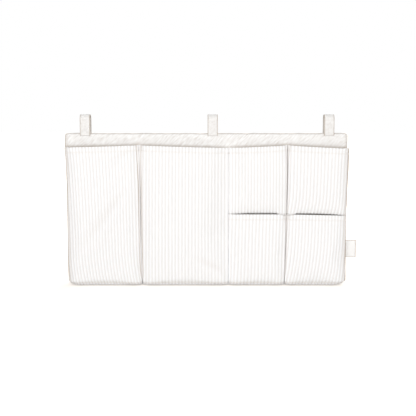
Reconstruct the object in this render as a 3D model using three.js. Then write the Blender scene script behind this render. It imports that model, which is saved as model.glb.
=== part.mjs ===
// A hanging bedside caddy: a padded back under a folded header, six pockets, three strap loops and
// a side label. Millimetres, +Z up, pockets towards -Y. The origin is the middle of the rail that the
// three loops go round.
import * as THREE from "three";

// Overall sizes. The flat height runs from the fold of the header to the bottom seam with the caddy
// pressed flat.
const WIDTH = 420;
const FLAT_HEIGHT = 240;
const DEPTH = 36;
const BOTTOM_BEND = 8.5;
const BOTTOM_CORNER = 8;
const DRAW_IN = 4;

// Cloths and what lies between them. GAP is the clearance between pieces that touch.
const CLOTH = 1.2;
const LINING = 0.8;
const WADDING = 5;
const GAP = 0.3;
const SIDE_ROLL = 4;
const WADDING_INSET = 4.5;
const WADDING_END = 12;

// The header: a strip folded over the top edge, with a front leg behind the pocket mouths.
const HEADER_FRONT_LEG = 40;
const HEADER_REAR_LEG = 45;
const HEADER_CORNER = 3;

// Pocket widths, measured along the mouths. The centre pocket takes what is left.
const LEFT_WIDTH = 109;
const MID_WIDTH = 85.5;
const RIGHT_WIDTH = 90.5;

// How far the seams between pockets settle sideways below the mouths and sweep sideways towards the
// bottom, to the right where positive.
const LEFT_SEAM_SETTLE = 3;
const LEFT_SEAM_SWEEP = 3.6;
const MID_SEAM_SWEEP = -0.6;
const RIGHT_SEAM_SWEEP = -5.8;

// Heights below the header's fold: where the mouths are pulled up, where they hang, and the slit
// between the small pockets.
const MOUTH_PEAK = 17.6;
const LEFT_MOUTH_DROP = 20.6;
const MID_MOUTH_DROP = 22;
const RIGHT_MOUTH_DROP = 22.6;
const SLIT_DROP = 120.4;
const SLIT_FALL = 1.8;
const SLIT_GAP = 1;

// How far pockets stand off the back: at a tall mouth, a small mouth, in the swell of a patch pocket
// and at its foot.
const TALL_MOUTH_DEPTH = 14;
const SMALL_MOUTH_DEPTH = 12.5;
const PATCH_SWELL = 4.5;
const PATCH_FOOT = 2.9;
const POCKET_CORNER = 5;
const SEAM_HALF = 0.5;
const PLEAT_MOUTH_SPREAD = 3.8;
const PLEAT_SPREAD = 0.7;
const PLEAT_FOOT_CORNER = 3;
const SIDE_INSET = 1.8;
const LEFT_MOUTH_FLARE = 2.8;
const LEFT_BULGE = 1.2;
const RIGHT_MOUTH_FLARE = 5;
const RIGHT_BULGE = 3.8;
const SEAM_NOTCH = 1.2;

// The strap loops, made of one width of tape and closed at the back.
const TAPE_WIDTH = 15;
const TAPE = 1.8;
const LOOP_HEIGHT = 28.3;
const LEFT_STRAP_INSET = 30;
const RIGHT_STRAP_INSET = 27;
const CENTRE_STRAP_SHIFT = 9.8;
const STRAP_ROOT_LAP = 3.4;
const STRAP_TAIL_LAP = 42;
const TAIL_CORNER = 2;
const HINGE_BELOW_ARCH = 1;
const PATCH = 1.5;
const PATCH_LENGTH = 28;
const PATCH_MARGIN = 1;
const PATCH_CORNER = 1.5;
const HOOK_END_MARGIN = 3;

// The label: a tape folded double, with its ends in the right side seam.
const LABEL_REACH = 18;
const LABEL_HEIGHT = 26;
const LABEL_DROP = 161.5;
const LABEL_CLOTH = 0.5;

// How finely round forms are stepped.
const BACK_COLUMNS = 8;
const FOLD_STEPS = 8;
const BEND_STEPS = 3;
const STRAIGHT_STEPS = 8;
const LEG_STEPS = 2;
const CORNER_STEPS = 2;
const ARCH_STEPS = 16;

// Shapes given as shares of the sizes that they follow.
const ROLL_SHARES = [0, 0.12, 0.42, 1];
const TALL_ROW_SHARES = [0, 0.13, 0.3, 0.5, 0.7, 0.87, 1];
const FRONT_SHARES = [0.06, 0.15, 0.31, 0.5, 0.69, 0.85, 0.94];
const PATCH_ROW_SHARES = [0, 0.14, 0.32, 0.52, 0.7, 0.83, 0.92, 0.97, 1];
const MOUTH_CURVE_SHARE = 0.6;
const SPREAD_END_SHARE = 0.45;
const FOOT_START_SHARE = 0.6;
const CORNER_MOST_SHARE = 0.8;
const PATCH_FOOT_POWER = 12;
const SETTLE_END_SHARE = 0.35;
const LEFT_SWEEP_POWER = 6;
const RIGHT_SWEEP_POWER = 3;
const CORNER_TURN = Math.PI / 3;

// Places that follow from the sizes. The back is a stack of cloth, wadding and cloth.
const BACK = CLOTH + GAP + WADDING + GAP + CLOTH;
const LOOP_HALF_DEPTH = (TAPE + GAP + BACK + GAP + PATCH + GAP + PATCH + GAP + TAPE) / 2;
const LOOP_INSIDE = LOOP_HALF_DEPTH - TAPE;
const BACK_FRONT = -LOOP_INSIDE + GAP;
const BACK_MIDDLE = BACK_FRONT + BACK / 2;
const BACK_REAR = BACK_FRONT + BACK;
const EDGE_HALF = CLOTH + GAP / 2;
const BOTTOM_SEAM = BACK_REAR - DEPTH / 2;
const FLOOR_STACK = CLOTH + GAP + CLOTH;
const FACE_BEND = BOTTOM_BEND - FLOOR_STACK;
const POCKET_DEPTH = DEPTH - BACK;
const POCKET_STACK = CLOTH + GAP + LINING + GAP;
const CROWN_REACH = Math.PI / 2 / Math.tan(Math.PI / 2 - CORNER_TURN);

const TOP = -(LOOP_HEIGHT - TAPE) / 2;
const TURNED_UNDER = (Math.PI / 2) * BOTTOM_BEND + DEPTH / 2 - BOTTOM_BEND;
const HEIGHT = FLAT_HEIGHT - TURNED_UNDER + BOTTOM_BEND;
const BOTTOM = TOP - HEIGHT;
const BEND_LEVEL = BOTTOM + BOTTOM_BEND;
const MOUTH_LEVEL = TOP - MOUTH_PEAK;
const ARCH_LEVEL = TOP + LOOP_HEIGHT - LOOP_HALF_DEPTH;
const HINGE_LEVEL = ARCH_LEVEL - HINGE_BELOW_ARCH;

const { clamp, lerp, smoothstep } = THREE.MathUtils;

function clothMaterial(color, roughness) {
  return new THREE.MeshStandardMaterial({ color, roughness, metalness: 0 });
}

const twill = () => clothMaterial("#f1ece4", 0.95);
const ribbed = () => clothMaterial("#faf8f5", 0.9);
const plain = () => clothMaterial("#f4f1ec", 0.92);
const batting = () => clothMaterial("#fbfbfa", 1);
const tape = () => clothMaterial("#f3efe9", 0.93);
const hookTape = () => clothMaterial("#eeebe6", 0.8);
const labelTape = () => clothMaterial("#fbfaf8", 0.7);

function namedMesh(name, geometry, material) {
  const mesh = new THREE.Mesh(geometry, material);
  mesh.name = name;
  return mesh;
}

// A closed sheet with an outer face (layer 0) and an inner face (layer 1), joined by rims along its
// four edges.
function sheetGeometry(columns, rows, pointAt) {
  const positions = [];
  const faces = [];
  const wide = columns + 1;
  const perLayer = wide * (rows + 1);
  for (let layer = 0; layer <= 1; layer += 1) {
    for (let row = 0; row <= rows; row += 1) {
      for (let column = 0; column <= columns; column += 1) {
        positions.push(...pointAt(column, row, layer));
      }
    }
  }
  const at = (column, row, layer) => layer * perLayer + row * wide + column;
  const quad = (a, b, c, d) => faces.push(a, b, c, a, c, d);
  for (let row = 0; row < rows; row += 1) {
    for (let column = 0; column < columns; column += 1) {
      quad(at(column, row, 0), at(column, row + 1, 0), at(column + 1, row + 1, 0), at(column + 1, row, 0));
      quad(at(column, row, 1), at(column + 1, row, 1), at(column + 1, row + 1, 1), at(column, row + 1, 1));
    }
    quad(at(0, row, 0), at(0, row, 1), at(0, row + 1, 1), at(0, row + 1, 0));
    quad(at(columns, row, 0), at(columns, row + 1, 0), at(columns, row + 1, 1), at(columns, row, 1));
  }
  for (let column = 0; column < columns; column += 1) {
    quad(at(column, 0, 0), at(column + 1, 0, 0), at(column + 1, 0, 1), at(column, 0, 1));
    quad(at(column, rows, 0), at(column, rows, 1), at(column + 1, rows, 1), at(column + 1, rows, 0));
  }
  const geometry = new THREE.BufferGeometry();
  geometry.setAttribute("position", new THREE.Float32BufferAttribute(positions, 3));
  geometry.setIndex(faces);
  geometry.computeVertexNormals();
  return geometry;
}

// How far a rounded corner cuts in at a distance from where it ends.
function cornerCut(distance, radius) {
  const short = clamp(radius - distance, 0, radius);
  return radius - Math.sqrt(radius * radius - short * short);
}

// Half of the back's width at a height: the filled pockets draw the sides in, and the bottom corners
// are round.
function drawnHalf(level) {
  return WIDTH / 2 - DRAW_IN * clamp((MOUTH_LEVEL - level) / (MOUTH_LEVEL - BOTTOM), 0, 1);
}

function outlineHalf(level) {
  return drawnHalf(level) - cornerCut(level - BOTTOM, BOTTOM_CORNER);
}

// The back's half thickness near its side edges, where the front and rear cloths close on each other.
function backHalf(fromSide) {
  const short = 1 - clamp(fromSide / SIDE_ROLL, 0, 1);
  return EDGE_HALF + (BACK / 2 - EDGE_HALF) * Math.sqrt(1 - short * short);
}

// A column of the back: its place across and its distance from the nearer side edge.
const ROLL_COLUMNS = ROLL_SHARES.length - 1;
const ALL_COLUMNS = BACK_COLUMNS + 2 * ROLL_COLUMNS;

function acrossBack(column, half) {
  const fromRight = ALL_COLUMNS - column;
  const side = column < fromRight ? -1 : 1;
  const nearer = Math.min(column, fromRight);
  if (nearer < ROLL_COLUMNS) {
    const fromSide = SIDE_ROLL * ROLL_SHARES[nearer];
    return { x: side * (half - fromSide), fromSide };
  }
  const share = (2 * (column - ROLL_COLUMNS)) / BACK_COLUMNS - 1;
  return { x: share * (half - SIDE_ROLL), fromSide: SIDE_ROLL };
}

// Header band: up the rear leg, over the fold and down the front leg.
function headerPoint(column, row, layer) {
  const inset = layer * CLOTH;
  const turn = (Math.PI * clamp(row - LEG_STEPS, 0, FOLD_STEPS)) / FOLD_STEPS;
  const fromSide = acrossBack(column, WIDTH / 2).fromSide;
  const half = backHalf(fromSide);
  const centre = TOP - cornerCut(fromSide, HEADER_CORNER) - half;
  let level = centre + (half - inset) * Math.sin(turn);
  if (row < LEG_STEPS) {
    level = lerp(TOP - HEADER_REAR_LEG, centre, row / LEG_STEPS);
  }
  if (row > LEG_STEPS + FOLD_STEPS) {
    level = lerp(centre, TOP - HEADER_FRONT_LEG, (row - LEG_STEPS - FOLD_STEPS) / LEG_STEPS);
  }
  const { x } = acrossBack(column, outlineHalf(level));
  return [x, BACK_MIDDLE + (half - inset) * Math.cos(turn), level];
}

// Face cloth: down from the header and forward over the floor of the pockets.
function facePoint(column, row, layer) {
  const inset = layer * CLOTH;
  const start = TOP - HEADER_FRONT_LEG - GAP;
  const turn = ((Math.PI / 2) * clamp(row - STRAIGHT_STEPS, 0, BEND_STEPS)) / BEND_STEPS;
  const outer = lerp(start, BEND_LEVEL, Math.min(row / STRAIGHT_STEPS, 1)) - FACE_BEND * Math.sin(turn);
  const { x, fromSide } = acrossBack(column, outlineHalf(outer));
  const centre = BACK_MIDDLE - backHalf(fromSide) - FACE_BEND;
  const last = row > STRAIGHT_STEPS + BEND_STEPS;
  const y = last ? BOTTOM_SEAM + GAP / 2 : centre + (FACE_BEND + inset) * Math.cos(turn);
  return [x, y, outer - inset * Math.sin(turn)];
}

// Rear cloth: back from the bottom seam, round the bottom bend and up to the header.
function rearPoint(column, row, layer) {
  const inset = layer * CLOTH;
  const end = TOP - HEADER_REAR_LEG - GAP;
  const turn = ((Math.PI / 2) * clamp(row - 1, 0, BEND_STEPS)) / BEND_STEPS;
  const rise = Math.max(row - 1 - BEND_STEPS, 0) / STRAIGHT_STEPS;
  const outer = lerp(BEND_LEVEL, end, rise) - BOTTOM_BEND * Math.cos(turn);
  const { x, fromSide } = acrossBack(column, outlineHalf(outer));
  const centre = BACK_MIDDLE + backHalf(fromSide) - BOTTOM_BEND;
  const y = row === 0 ? BOTTOM_SEAM + GAP / 2 : centre + (BOTTOM_BEND - inset) * Math.sin(turn);
  return [x, y, outer + inset * Math.cos(turn)];
}

// Wadding: a soft-edged slab between the cloths, from under the header's fold to above the bottom bend.
function waddingPoint(column, row, layer) {
  const side = layer === 0 ? -1 : 1;
  const rounding = (Math.PI / 2) * clamp(1 - row / CORNER_STEPS, 0, 1);
  const topRound = WADDING / 2;
  const start = TOP - CLOTH - GAP - topRound;
  const straight = clamp((row - CORNER_STEPS) / STRAIGHT_STEPS, 0, 1);
  const level = lerp(start, BEND_LEVEL + WADDING_END, straight) + topRound * Math.sin(rounding);
  const { x, fromSide } = acrossBack(column, outlineHalf(level) - WADDING_INSET);
  const half = Math.max(topRound * Math.cos(rounding), GAP);
  const edge = half * lerp(1, backHalf(fromSide) / (BACK / 2), Math.cos(rounding));
  return [x, BACK_MIDDLE + side * edge, level];
}

// Where pockets meet each other and the sides.
function seamLine(start, settle, sweep, power) {
  return (level) => {
    const down = clamp((MOUTH_LEVEL - level) / (MOUTH_LEVEL - BOTTOM), 0, 1);
    return start + settle * smoothstep(down, 0, SETTLE_END_SHARE) + sweep * down ** power;
  };
}

const RIGHT_START = WIDTH / 2 - RIGHT_WIDTH;
const LEFT_SEAM = seamLine(-WIDTH / 2 + LEFT_WIDTH, LEFT_SEAM_SETTLE, LEFT_SEAM_SWEEP, LEFT_SWEEP_POWER);
const RIGHT_SEAM = seamLine(RIGHT_START, 0, RIGHT_SEAM_SWEEP, RIGHT_SWEEP_POWER);
const MID_SEAM = seamLine(RIGHT_START - MID_WIDTH, 0, MID_SEAM_SWEEP, RIGHT_SWEEP_POWER);
const LEFT_SIDE = (level) => SIDE_INSET - drawnHalf(level);
const RIGHT_SIDE = (level) => drawnHalf(level) - SIDE_INSET;

// The ways that a pocket leaves its seam. A share is how much of the pocket's depth it has there, at
// the mouth and the foot. A spread is how far the cloth leans into the pocket on its way out, or, where
// it is negative, bulges out past its seam.
const sideWay = (mouthFlare, bulge) => ({
  share: 0.7,
  footShare: 0.76,
  mouthSpread: -mouthFlare,
  spread: -bulge,
  corner: BOTTOM_CORNER,
});
const leftWay = sideWay(LEFT_MOUTH_FLARE, LEFT_BULGE);
const rightWay = sideWay(RIGHT_MOUTH_FLARE, RIGHT_BULGE);
const pleatWay = {
  share: 0.76,
  footShare: 0.76,
  mouthSpread: PLEAT_MOUTH_SPREAD,
  spread: PLEAT_SPREAD,
  corner: PLEAT_FOOT_CORNER,
};
const flatWay = { share: 0.24, footShare: 0.76, mouthSpread: 0, spread: 0, corner: PLEAT_FOOT_CORNER };
const stepWay = { share: 0.6, footShare: 0.76, mouthSpread: 0, spread: 0, corner: PLEAT_FOOT_CORNER };

function side(line, way, direction) {
  return { line, way, direction };
}

// Heights of the mouths: each is pulled up at its pleated seam and hangs towards its other side.
function hangingMouth(peakLine, lowLine, drop) {
  return (x) => {
    const peak = peakLine(MOUTH_LEVEL);
    const away = clamp((x - peak) / (lowLine(MOUTH_LEVEL) - peak), 0, 1);
    return TOP - lerp(MOUTH_PEAK, drop, away ** MOUTH_CURVE_SHARE);
  };
}

function slitLevel(x) {
  const seam = RIGHT_SEAM(TOP - SLIT_DROP);
  const away = clamp((x - seam) / (RIGHT_SIDE(TOP - SLIT_DROP) - seam), 0, 1);
  return TOP - SLIT_DROP - SLIT_FALL * away;
}

const abovePatch = (x) => slitLevel(x) - SLIT_GAP / 2;
const patchFoot = (x) => slitLevel(x) + SLIT_GAP / 2;

// How deep a pocket is at a share of its height.
const tallDepth = (mouth) => (down) => lerp(mouth, POCKET_DEPTH, Math.sin((Math.PI / 2) * down));
const patchDepth = (down) => {
  const standing = (SMALL_MOUTH_DEPTH - PATCH_FOOT) * (1 - down ** PATCH_FOOT_POWER);
  return PATCH_FOOT + standing + PATCH_SWELL * Math.sin(Math.PI * down);
};

function tallPocket(left, right, mouth, mouthDepth) {
  const deep = tallDepth(mouthDepth);
  return { left, right, mouth, foot: () => BEND_LEVEL, rows: TALL_ROW_SHARES, deep, under: true };
}

function patchPocket(left, right, mouth) {
  return { left, right, mouth, foot: patchFoot, rows: PATCH_ROW_SHARES, deep: patchDepth, under: false };
}

const POCKETS = {
  left_pocket: tallPocket(
    side(LEFT_SIDE, leftWay, 1),
    side(LEFT_SEAM, pleatWay, -1),
    hangingMouth(LEFT_SEAM, LEFT_SIDE, LEFT_MOUTH_DROP),
    TALL_MOUTH_DEPTH,
  ),
  centre_pocket: tallPocket(
    side(LEFT_SEAM, pleatWay, 1),
    side(MID_SEAM, flatWay, -1),
    hangingMouth(LEFT_SEAM, MID_SEAM, MID_MOUTH_DROP),
    TALL_MOUTH_DEPTH,
  ),
  mid_upper_pocket: patchPocket(
    side(MID_SEAM, flatWay, 1),
    side(RIGHT_SEAM, pleatWay, -1),
    hangingMouth(RIGHT_SEAM, MID_SEAM, MID_MOUTH_DROP),
  ),
  right_upper_pocket: patchPocket(
    side(RIGHT_SEAM, pleatWay, 1),
    side(RIGHT_SIDE, rightWay, -1),
    hangingMouth(RIGHT_SEAM, RIGHT_SIDE, RIGHT_MOUTH_DROP),
  ),
  mid_lower_pocket: tallPocket(
    side(MID_SEAM, stepWay, 1),
    side(RIGHT_SEAM, pleatWay, -1),
    abovePatch,
    SMALL_MOUTH_DEPTH,
  ),
  right_lower_pocket: tallPocket(
    side(RIGHT_SEAM, pleatWay, 1),
    side(RIGHT_SIDE, rightWay, -1),
    abovePatch,
    SMALL_MOUTH_DEPTH,
  ),
};

// One end of a pocket's cross-section: the base on the seam, the wall and the corner that it turns to
// the front.
const END_POINTS = CORNER_STEPS + 2;

function endStations(pocketSide, level, cutLevel, down, deep) {
  const { line, way, direction } = pocketSide;
  const foot = smoothstep(down, FOOT_START_SHARE, 1);
  const shoulder = Math.max(deep * lerp(way.share, way.footShare, foot), POCKET_STACK);
  const rise = Math.min(POCKET_CORNER * Math.sin(CORNER_TURN), shoulder * CORNER_MOST_SHARE);
  const tuck = clamp(1 - (cutLevel - BOTTOM) / way.corner, 0, 1);
  const spread = lerp(way.mouthSpread, way.spread, smoothstep(down, 0, SPREAD_END_SHARE));
  const seam = line(level) + direction * (SEAM_HALF + cornerCut(cutLevel - BOTTOM, way.corner));
  const wall = seam + direction * spread * (1 - tuck);
  const stations = [{ x: seam, depth: GAP, turn: 0 }];
  for (let step = 0; step <= CORNER_STEPS; step += 1) {
    const turn = (CORNER_TURN * step) / CORNER_STEPS;
    const x = wall + direction * POCKET_CORNER * (1 - Math.cos(turn));
    const depth = shoulder - rise + (rise * Math.sin(turn)) / Math.sin(CORNER_TURN);
    stations.push({ x, depth, turn });
  }
  return stations.map((s) => ({
    ...s,
    shoulder,
    tuck,
    across: -direction * Math.cos(s.turn) * Math.sqrt(1 - tuck * tuck),
    out: Math.sin(s.turn),
  }));
}

// The crowned front between the two corners.
function crownShare(distance, share, deep) {
  const reach = Math.max(CROWN_REACH * deep * (1 - share), GAP);
  return share + (1 - share) * Math.sin((Math.PI / 2) * clamp(distance / reach, 0, 1));
}

function frontStation(share, left, right, deep) {
  const from = left.x;
  const span = right.x - left.x;
  const crowned = (distance, end) => crownShare(distance, end.shoulder / deep, deep);
  const depthAt = (x) => deep * crowned(x - from, left) * crowned(right.x - x, right);
  const x = from + span * share;
  const reach = (span * FRONT_SHARES[0]) / 2;
  const slope = (depthAt(x + reach) - depthAt(x - reach)) / (2 * reach);
  const length = Math.hypot(slope, 1);
  return { x, depth: depthAt(x), across: -slope / length, out: 1 / length, front: true };
}

// A whole cross-section, from one seam to the other.
function crossSection(pocket, level, cutLevel, down) {
  const deep = pocket.deep(down);
  const left = endStations(pocket.left, level, cutLevel, down, deep);
  const right = endStations(pocket.right, level, cutLevel, down, deep).reverse();
  const front = FRONT_SHARES.map((share) => frontStation(share, left[left.length - 1], right[0], deep));
  return [...left, ...front, ...right];
}

const POCKET_COLUMNS = 2 * END_POINTS + FRONT_SHARES.length - 1;

// Where the front of a pocket runs at a row: straight down, round the bottom bend and back to the
// bottom seam.
function frontPath(depth, offset, level, turn, under) {
  const centre = BACK_FRONT - depth + BOTTOM_BEND;
  const round = BOTTOM_BEND - offset;
  const y = lerp(centre - round * Math.cos(turn), BOTTOM_SEAM - GAP / 2, under);
  return { y, z: level - round * Math.sin(turn) };
}

// Where its side edges run: down the back and forward over the pocket's floor.
function backPath(level, turn, under) {
  const round = FACE_BEND - GAP;
  const centre = BACK_FRONT - FACE_BEND;
  const y = lerp(centre + round * Math.cos(turn), BOTTOM_SEAM - GAP / 2, under);
  return { y, z: level - round * Math.sin(turn) };
}

function pocketPoint(pocket, column, row, inset) {
  const straight = pocket.rows.length - 1;
  const down = pocket.rows[Math.min(row, straight)];
  const turn = ((Math.PI / 2) * clamp(row - straight, 0, BEND_STEPS)) / BEND_STEPS;
  const under = row > straight + BEND_STEPS ? 1 : 0;
  const guess = lerp(pocket.mouth(pocket.left.line(MOUTH_LEVEL)), pocket.foot(0), down);
  const cutLevel = guess - BOTTOM_BEND * Math.sin(turn);
  const station = crossSection(pocket, guess, cutLevel, down)[column];
  const level = lerp(pocket.mouth(station.x), pocket.foot(station.x), down);
  const x = station.x + inset * -station.across;
  const offset = inset * station.out;
  if (station.front) {
    const { y, z } = frontPath(station.depth, offset, level, turn, under);
    return [x, y, z];
  }
  const shoulderOffset = inset * Math.sin(CORNER_TURN);
  const front = frontPath(station.shoulder, shoulderOffset, level, turn, under);
  const back = backPath(level, turn, under);
  const reach = (station.depth - offset - GAP) / (station.shoulder - shoulderOffset - GAP);
  const notch = under * SEAM_NOTCH * Math.sin(Math.PI * reach);
  const low = back.z + inset * station.tuck;
  return [x, lerp(back.y, front.y, reach) - notch, lerp(low, front.z, station.turn / CORNER_TURN)];
}

function pocketSheet(pocket, from, thickness) {
  const rows = pocket.rows.length - 1 + (pocket.under ? BEND_STEPS + 1 : 0);
  return sheetGeometry(POCKET_COLUMNS, rows, (column, row, layer) =>
    pocketPoint(pocket, column, row, from + layer * thickness),
  );
}

// Flat pieces and tapes. A profile in the YZ plane is extruded along +X, and a panel in the XZ plane
// towards -Y.
function alongX(shape, length) {
  const options = { depth: length, bevelEnabled: false, curveSegments: ARCH_STEPS };
  const geometry = new THREE.ExtrudeGeometry(shape, options);
  const toRow = new THREE.Matrix4().makeBasis(
    new THREE.Vector3(0, 1, 0),
    new THREE.Vector3(0, 0, 1),
    new THREE.Vector3(1, 0, 0),
  );
  return geometry.applyMatrix4(toRow);
}

function panel(width, low, high, thickness, lowCorner, highCorner) {
  const half = width / 2;
  const shape = new THREE.Shape();
  const corner = (side, level, radius, start) => {
    if (radius > 0) shape.absarc(side, level, radius, start, start + Math.PI / 2);
  };
  shape.moveTo(-half + lowCorner, low);
  shape.lineTo(half - lowCorner, low);
  corner(half - lowCorner, low + lowCorner, lowCorner, -Math.PI / 2);
  shape.lineTo(half, high - highCorner);
  corner(half - highCorner, high - highCorner, highCorner, 0);
  shape.lineTo(-half + highCorner, high);
  corner(-half + highCorner, high - highCorner, highCorner, Math.PI / 2);
  shape.lineTo(-half, low + lowCorner);
  corner(-half + lowCorner, low + lowCorner, lowCorner, Math.PI);
  const options = { depth: thickness, bevelEnabled: false, curveSegments: CORNER_STEPS };
  return new THREE.ExtrudeGeometry(shape, options).rotateX(Math.PI / 2);
}

// Riser: from its lap on the header's front up, over the arch and down to where the tail begins.
function riserGeometry() {
  const shape = new THREE.Shape();
  const low = TOP - STRAP_ROOT_LAP;
  shape.moveTo(-LOOP_HALF_DEPTH, low);
  shape.lineTo(-LOOP_INSIDE, low);
  shape.lineTo(-LOOP_INSIDE, ARCH_LEVEL);
  shape.absarc(0, ARCH_LEVEL, LOOP_INSIDE, Math.PI, 0, true);
  shape.lineTo(LOOP_INSIDE, HINGE_LEVEL + GAP);
  shape.lineTo(LOOP_HALF_DEPTH, HINGE_LEVEL + GAP);
  shape.lineTo(LOOP_HALF_DEPTH, ARCH_LEVEL);
  shape.absarc(0, ARCH_LEVEL, LOOP_HALF_DEPTH, 0, Math.PI, false);
  return alongX(shape, TAPE_WIDTH);
}

// One strap: riser, tail, the hook patch sewn to the tail and the loop patch sewn to the header.
function strapMeshes(place, x) {
  const patchHigh = TOP - STRAP_TAIL_LAP + HOOK_END_MARGIN + PATCH_LENGTH;
  const patchLow = patchHigh - PATCH_LENGTH;
  const patchWidth = TAPE_WIDTH - 2 * PATCH_MARGIN;
  const riser = namedMesh(`strap_${place}_riser`, riserGeometry(), tape());
  riser.position.x = x - TAPE_WIDTH / 2;
  const tailShape = panel(TAPE_WIDTH, TOP - STRAP_TAIL_LAP, HINGE_LEVEL, TAPE, TAIL_CORNER, 0);
  const tail = namedMesh(`strap_${place}_tail`, tailShape, tape());
  tail.position.set(x, LOOP_HALF_DEPTH, 0);
  const hookShape = panel(patchWidth, patchLow, patchHigh, PATCH, PATCH_CORNER, PATCH_CORNER);
  const hook = namedMesh(`strap_${place}_hook_patch`, hookShape, hookTape());
  hook.position.set(x, LOOP_INSIDE - GAP, 0);
  const loopLow = patchLow - PATCH_MARGIN;
  const loopHigh = patchHigh + PATCH_MARGIN;
  const loopShape = panel(TAPE_WIDTH, loopLow, loopHigh, PATCH, PATCH_CORNER, PATCH_CORNER);
  const loop = namedMesh(`strap_${place}_loop_patch`, loopShape, hookTape());
  loop.position.set(x, LOOP_INSIDE - GAP - PATCH - GAP, 0);
  return [riser, tail, hook, loop];
}

// Label: a hairpin of tape whose two ends stand against the side seam.
function labelGeometry() {
  const inside = GAP / 2;
  const outside = inside + LABEL_CLOTH;
  const straight = LABEL_REACH - outside;
  const shape = new THREE.Shape();
  shape.moveTo(0, -outside);
  shape.lineTo(straight, -outside);
  shape.absarc(straight, 0, outside, -Math.PI / 2, Math.PI / 2, false);
  shape.lineTo(0, outside);
  shape.lineTo(0, inside);
  shape.lineTo(straight, inside);
  shape.absarc(straight, 0, inside, Math.PI / 2, -Math.PI / 2, true);
  shape.lineTo(0, -inside);
  const options = { depth: LABEL_HEIGHT, bevelEnabled: false, curveSegments: CORNER_STEPS };
  return new THREE.ExtrudeGeometry(shape, options);
}

const caddy = new THREE.Group();

const back = new THREE.Group();
const backSheet = (rows, pointAt) => sheetGeometry(ALL_COLUMNS, rows, pointAt);
back.add(
  namedMesh("header_band", backSheet(2 * LEG_STEPS + FOLD_STEPS, headerPoint), twill()),
  namedMesh("face_cloth", backSheet(STRAIGHT_STEPS + BEND_STEPS + 1, facePoint), plain()),
  namedMesh("back_wadding", backSheet(CORNER_STEPS + STRAIGHT_STEPS, waddingPoint), batting()),
  namedMesh("rear_cloth", backSheet(STRAIGHT_STEPS + BEND_STEPS + 1, rearPoint), plain()),
);
caddy.add(back);

const pockets = new THREE.Group();
for (const [name, pocket] of Object.entries(POCKETS)) {
  pockets.add(namedMesh(`${name}_cloth`, pocketSheet(pocket, 0, CLOTH), ribbed()));
  pockets.add(namedMesh(`${name}_lining`, pocketSheet(pocket, CLOTH + GAP, LINING), plain()));
}
caddy.add(pockets);

const straps = new THREE.Group();
straps.add(...strapMeshes("left", LEFT_STRAP_INSET - WIDTH / 2));
straps.add(...strapMeshes("centre", CENTRE_STRAP_SHIFT));
straps.add(...strapMeshes("right", WIDTH / 2 - RIGHT_STRAP_INSET));
caddy.add(straps);

const label = namedMesh("side_label", labelGeometry(), labelTape());
label.position.set(drawnHalf(TOP - LABEL_DROP) + GAP, BACK_MIDDLE, TOP - LABEL_DROP - LABEL_HEIGHT);
caddy.add(label);

export default caddy;
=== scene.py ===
import math

import bpy
import numpy as np
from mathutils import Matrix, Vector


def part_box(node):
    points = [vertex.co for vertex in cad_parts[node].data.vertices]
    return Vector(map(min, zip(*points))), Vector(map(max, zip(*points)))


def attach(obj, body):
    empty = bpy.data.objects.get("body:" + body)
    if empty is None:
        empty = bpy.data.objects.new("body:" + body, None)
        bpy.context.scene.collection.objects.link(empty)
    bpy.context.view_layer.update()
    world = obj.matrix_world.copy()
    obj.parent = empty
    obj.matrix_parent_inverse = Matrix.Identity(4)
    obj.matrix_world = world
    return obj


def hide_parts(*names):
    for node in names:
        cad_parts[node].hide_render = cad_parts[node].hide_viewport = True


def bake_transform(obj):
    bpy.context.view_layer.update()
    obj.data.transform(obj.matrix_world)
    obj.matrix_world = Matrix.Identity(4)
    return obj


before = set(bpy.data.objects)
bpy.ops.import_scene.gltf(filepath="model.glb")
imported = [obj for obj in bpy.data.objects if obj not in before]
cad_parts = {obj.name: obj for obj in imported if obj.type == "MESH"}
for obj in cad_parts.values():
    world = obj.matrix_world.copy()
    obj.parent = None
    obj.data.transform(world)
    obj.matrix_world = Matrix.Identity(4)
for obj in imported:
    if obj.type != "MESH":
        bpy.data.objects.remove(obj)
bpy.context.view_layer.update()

# Wadding: a slab of polyester batting that fills the back and stands up into the header. It is cut a little
# smaller than the back, with soft edges, and lies loose between the cloths that are sewn together round it.
header_low, header_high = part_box("header_band")
rear_low, rear_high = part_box("rear_cloth")
wadding_low, wadding_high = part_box("back_wadding")
HALF_WIDTH = header_high.x
TOP = header_high.z
BOTTOM = rear_low.z
BACK_REAR = rear_high.y
BACK_FRONT = header_low.y
BACK_MIDDLE = (BACK_FRONT + BACK_REAR) / 2
BACK_HALF = (BACK_REAR - BACK_FRONT) / 2
BOTTOM_CORNER = 0.0065
DRAW_IN = 0.004
MOUTH_DROP = 0.0176
MOUTH_LEVEL = TOP - MOUTH_DROP
EDGE_HALF = 0.00135
SIDE_ROLL = 0.006
WADDING_INSET = 0.0045
WADDING_ROOM = 0.0016
WADDING_EDGE = 0.0002
WADDING_FLUFF = 0.0005
WADDING_WAVES = (0.031, 0.017, 0.011)


def step(value, low, high):
    """From 0 at low to 1 at high, level at both ends."""
    share = np.clip((value - low) / (high - low), 0, 1)
    return share * share * (3 - 2 * share)


def waves(x, y, lengths):
    """A gentle unevenness: crossed waves of the given lengths, between about -1 and 1."""
    total = 0
    for number, length in enumerate(lengths):
        along = math.cos(2.4 * number + 0.3) * x + math.sin(2.4 * number + 0.3) * y
        across = math.sin(1.7 * number + 0.9) * x - math.cos(1.7 * number + 0.9) * y
        total = total + np.sin(2 * math.pi * along / length + number) * np.cos(1.6 * math.pi * across / length)
    return total / len(lengths)


def corner_cut(above_end, radius):
    """How far a rounded corner cuts in at a height above where it ends."""
    short = np.clip(radius - above_end, 0, radius)
    return radius - np.sqrt(radius * radius - short * short)


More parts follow.
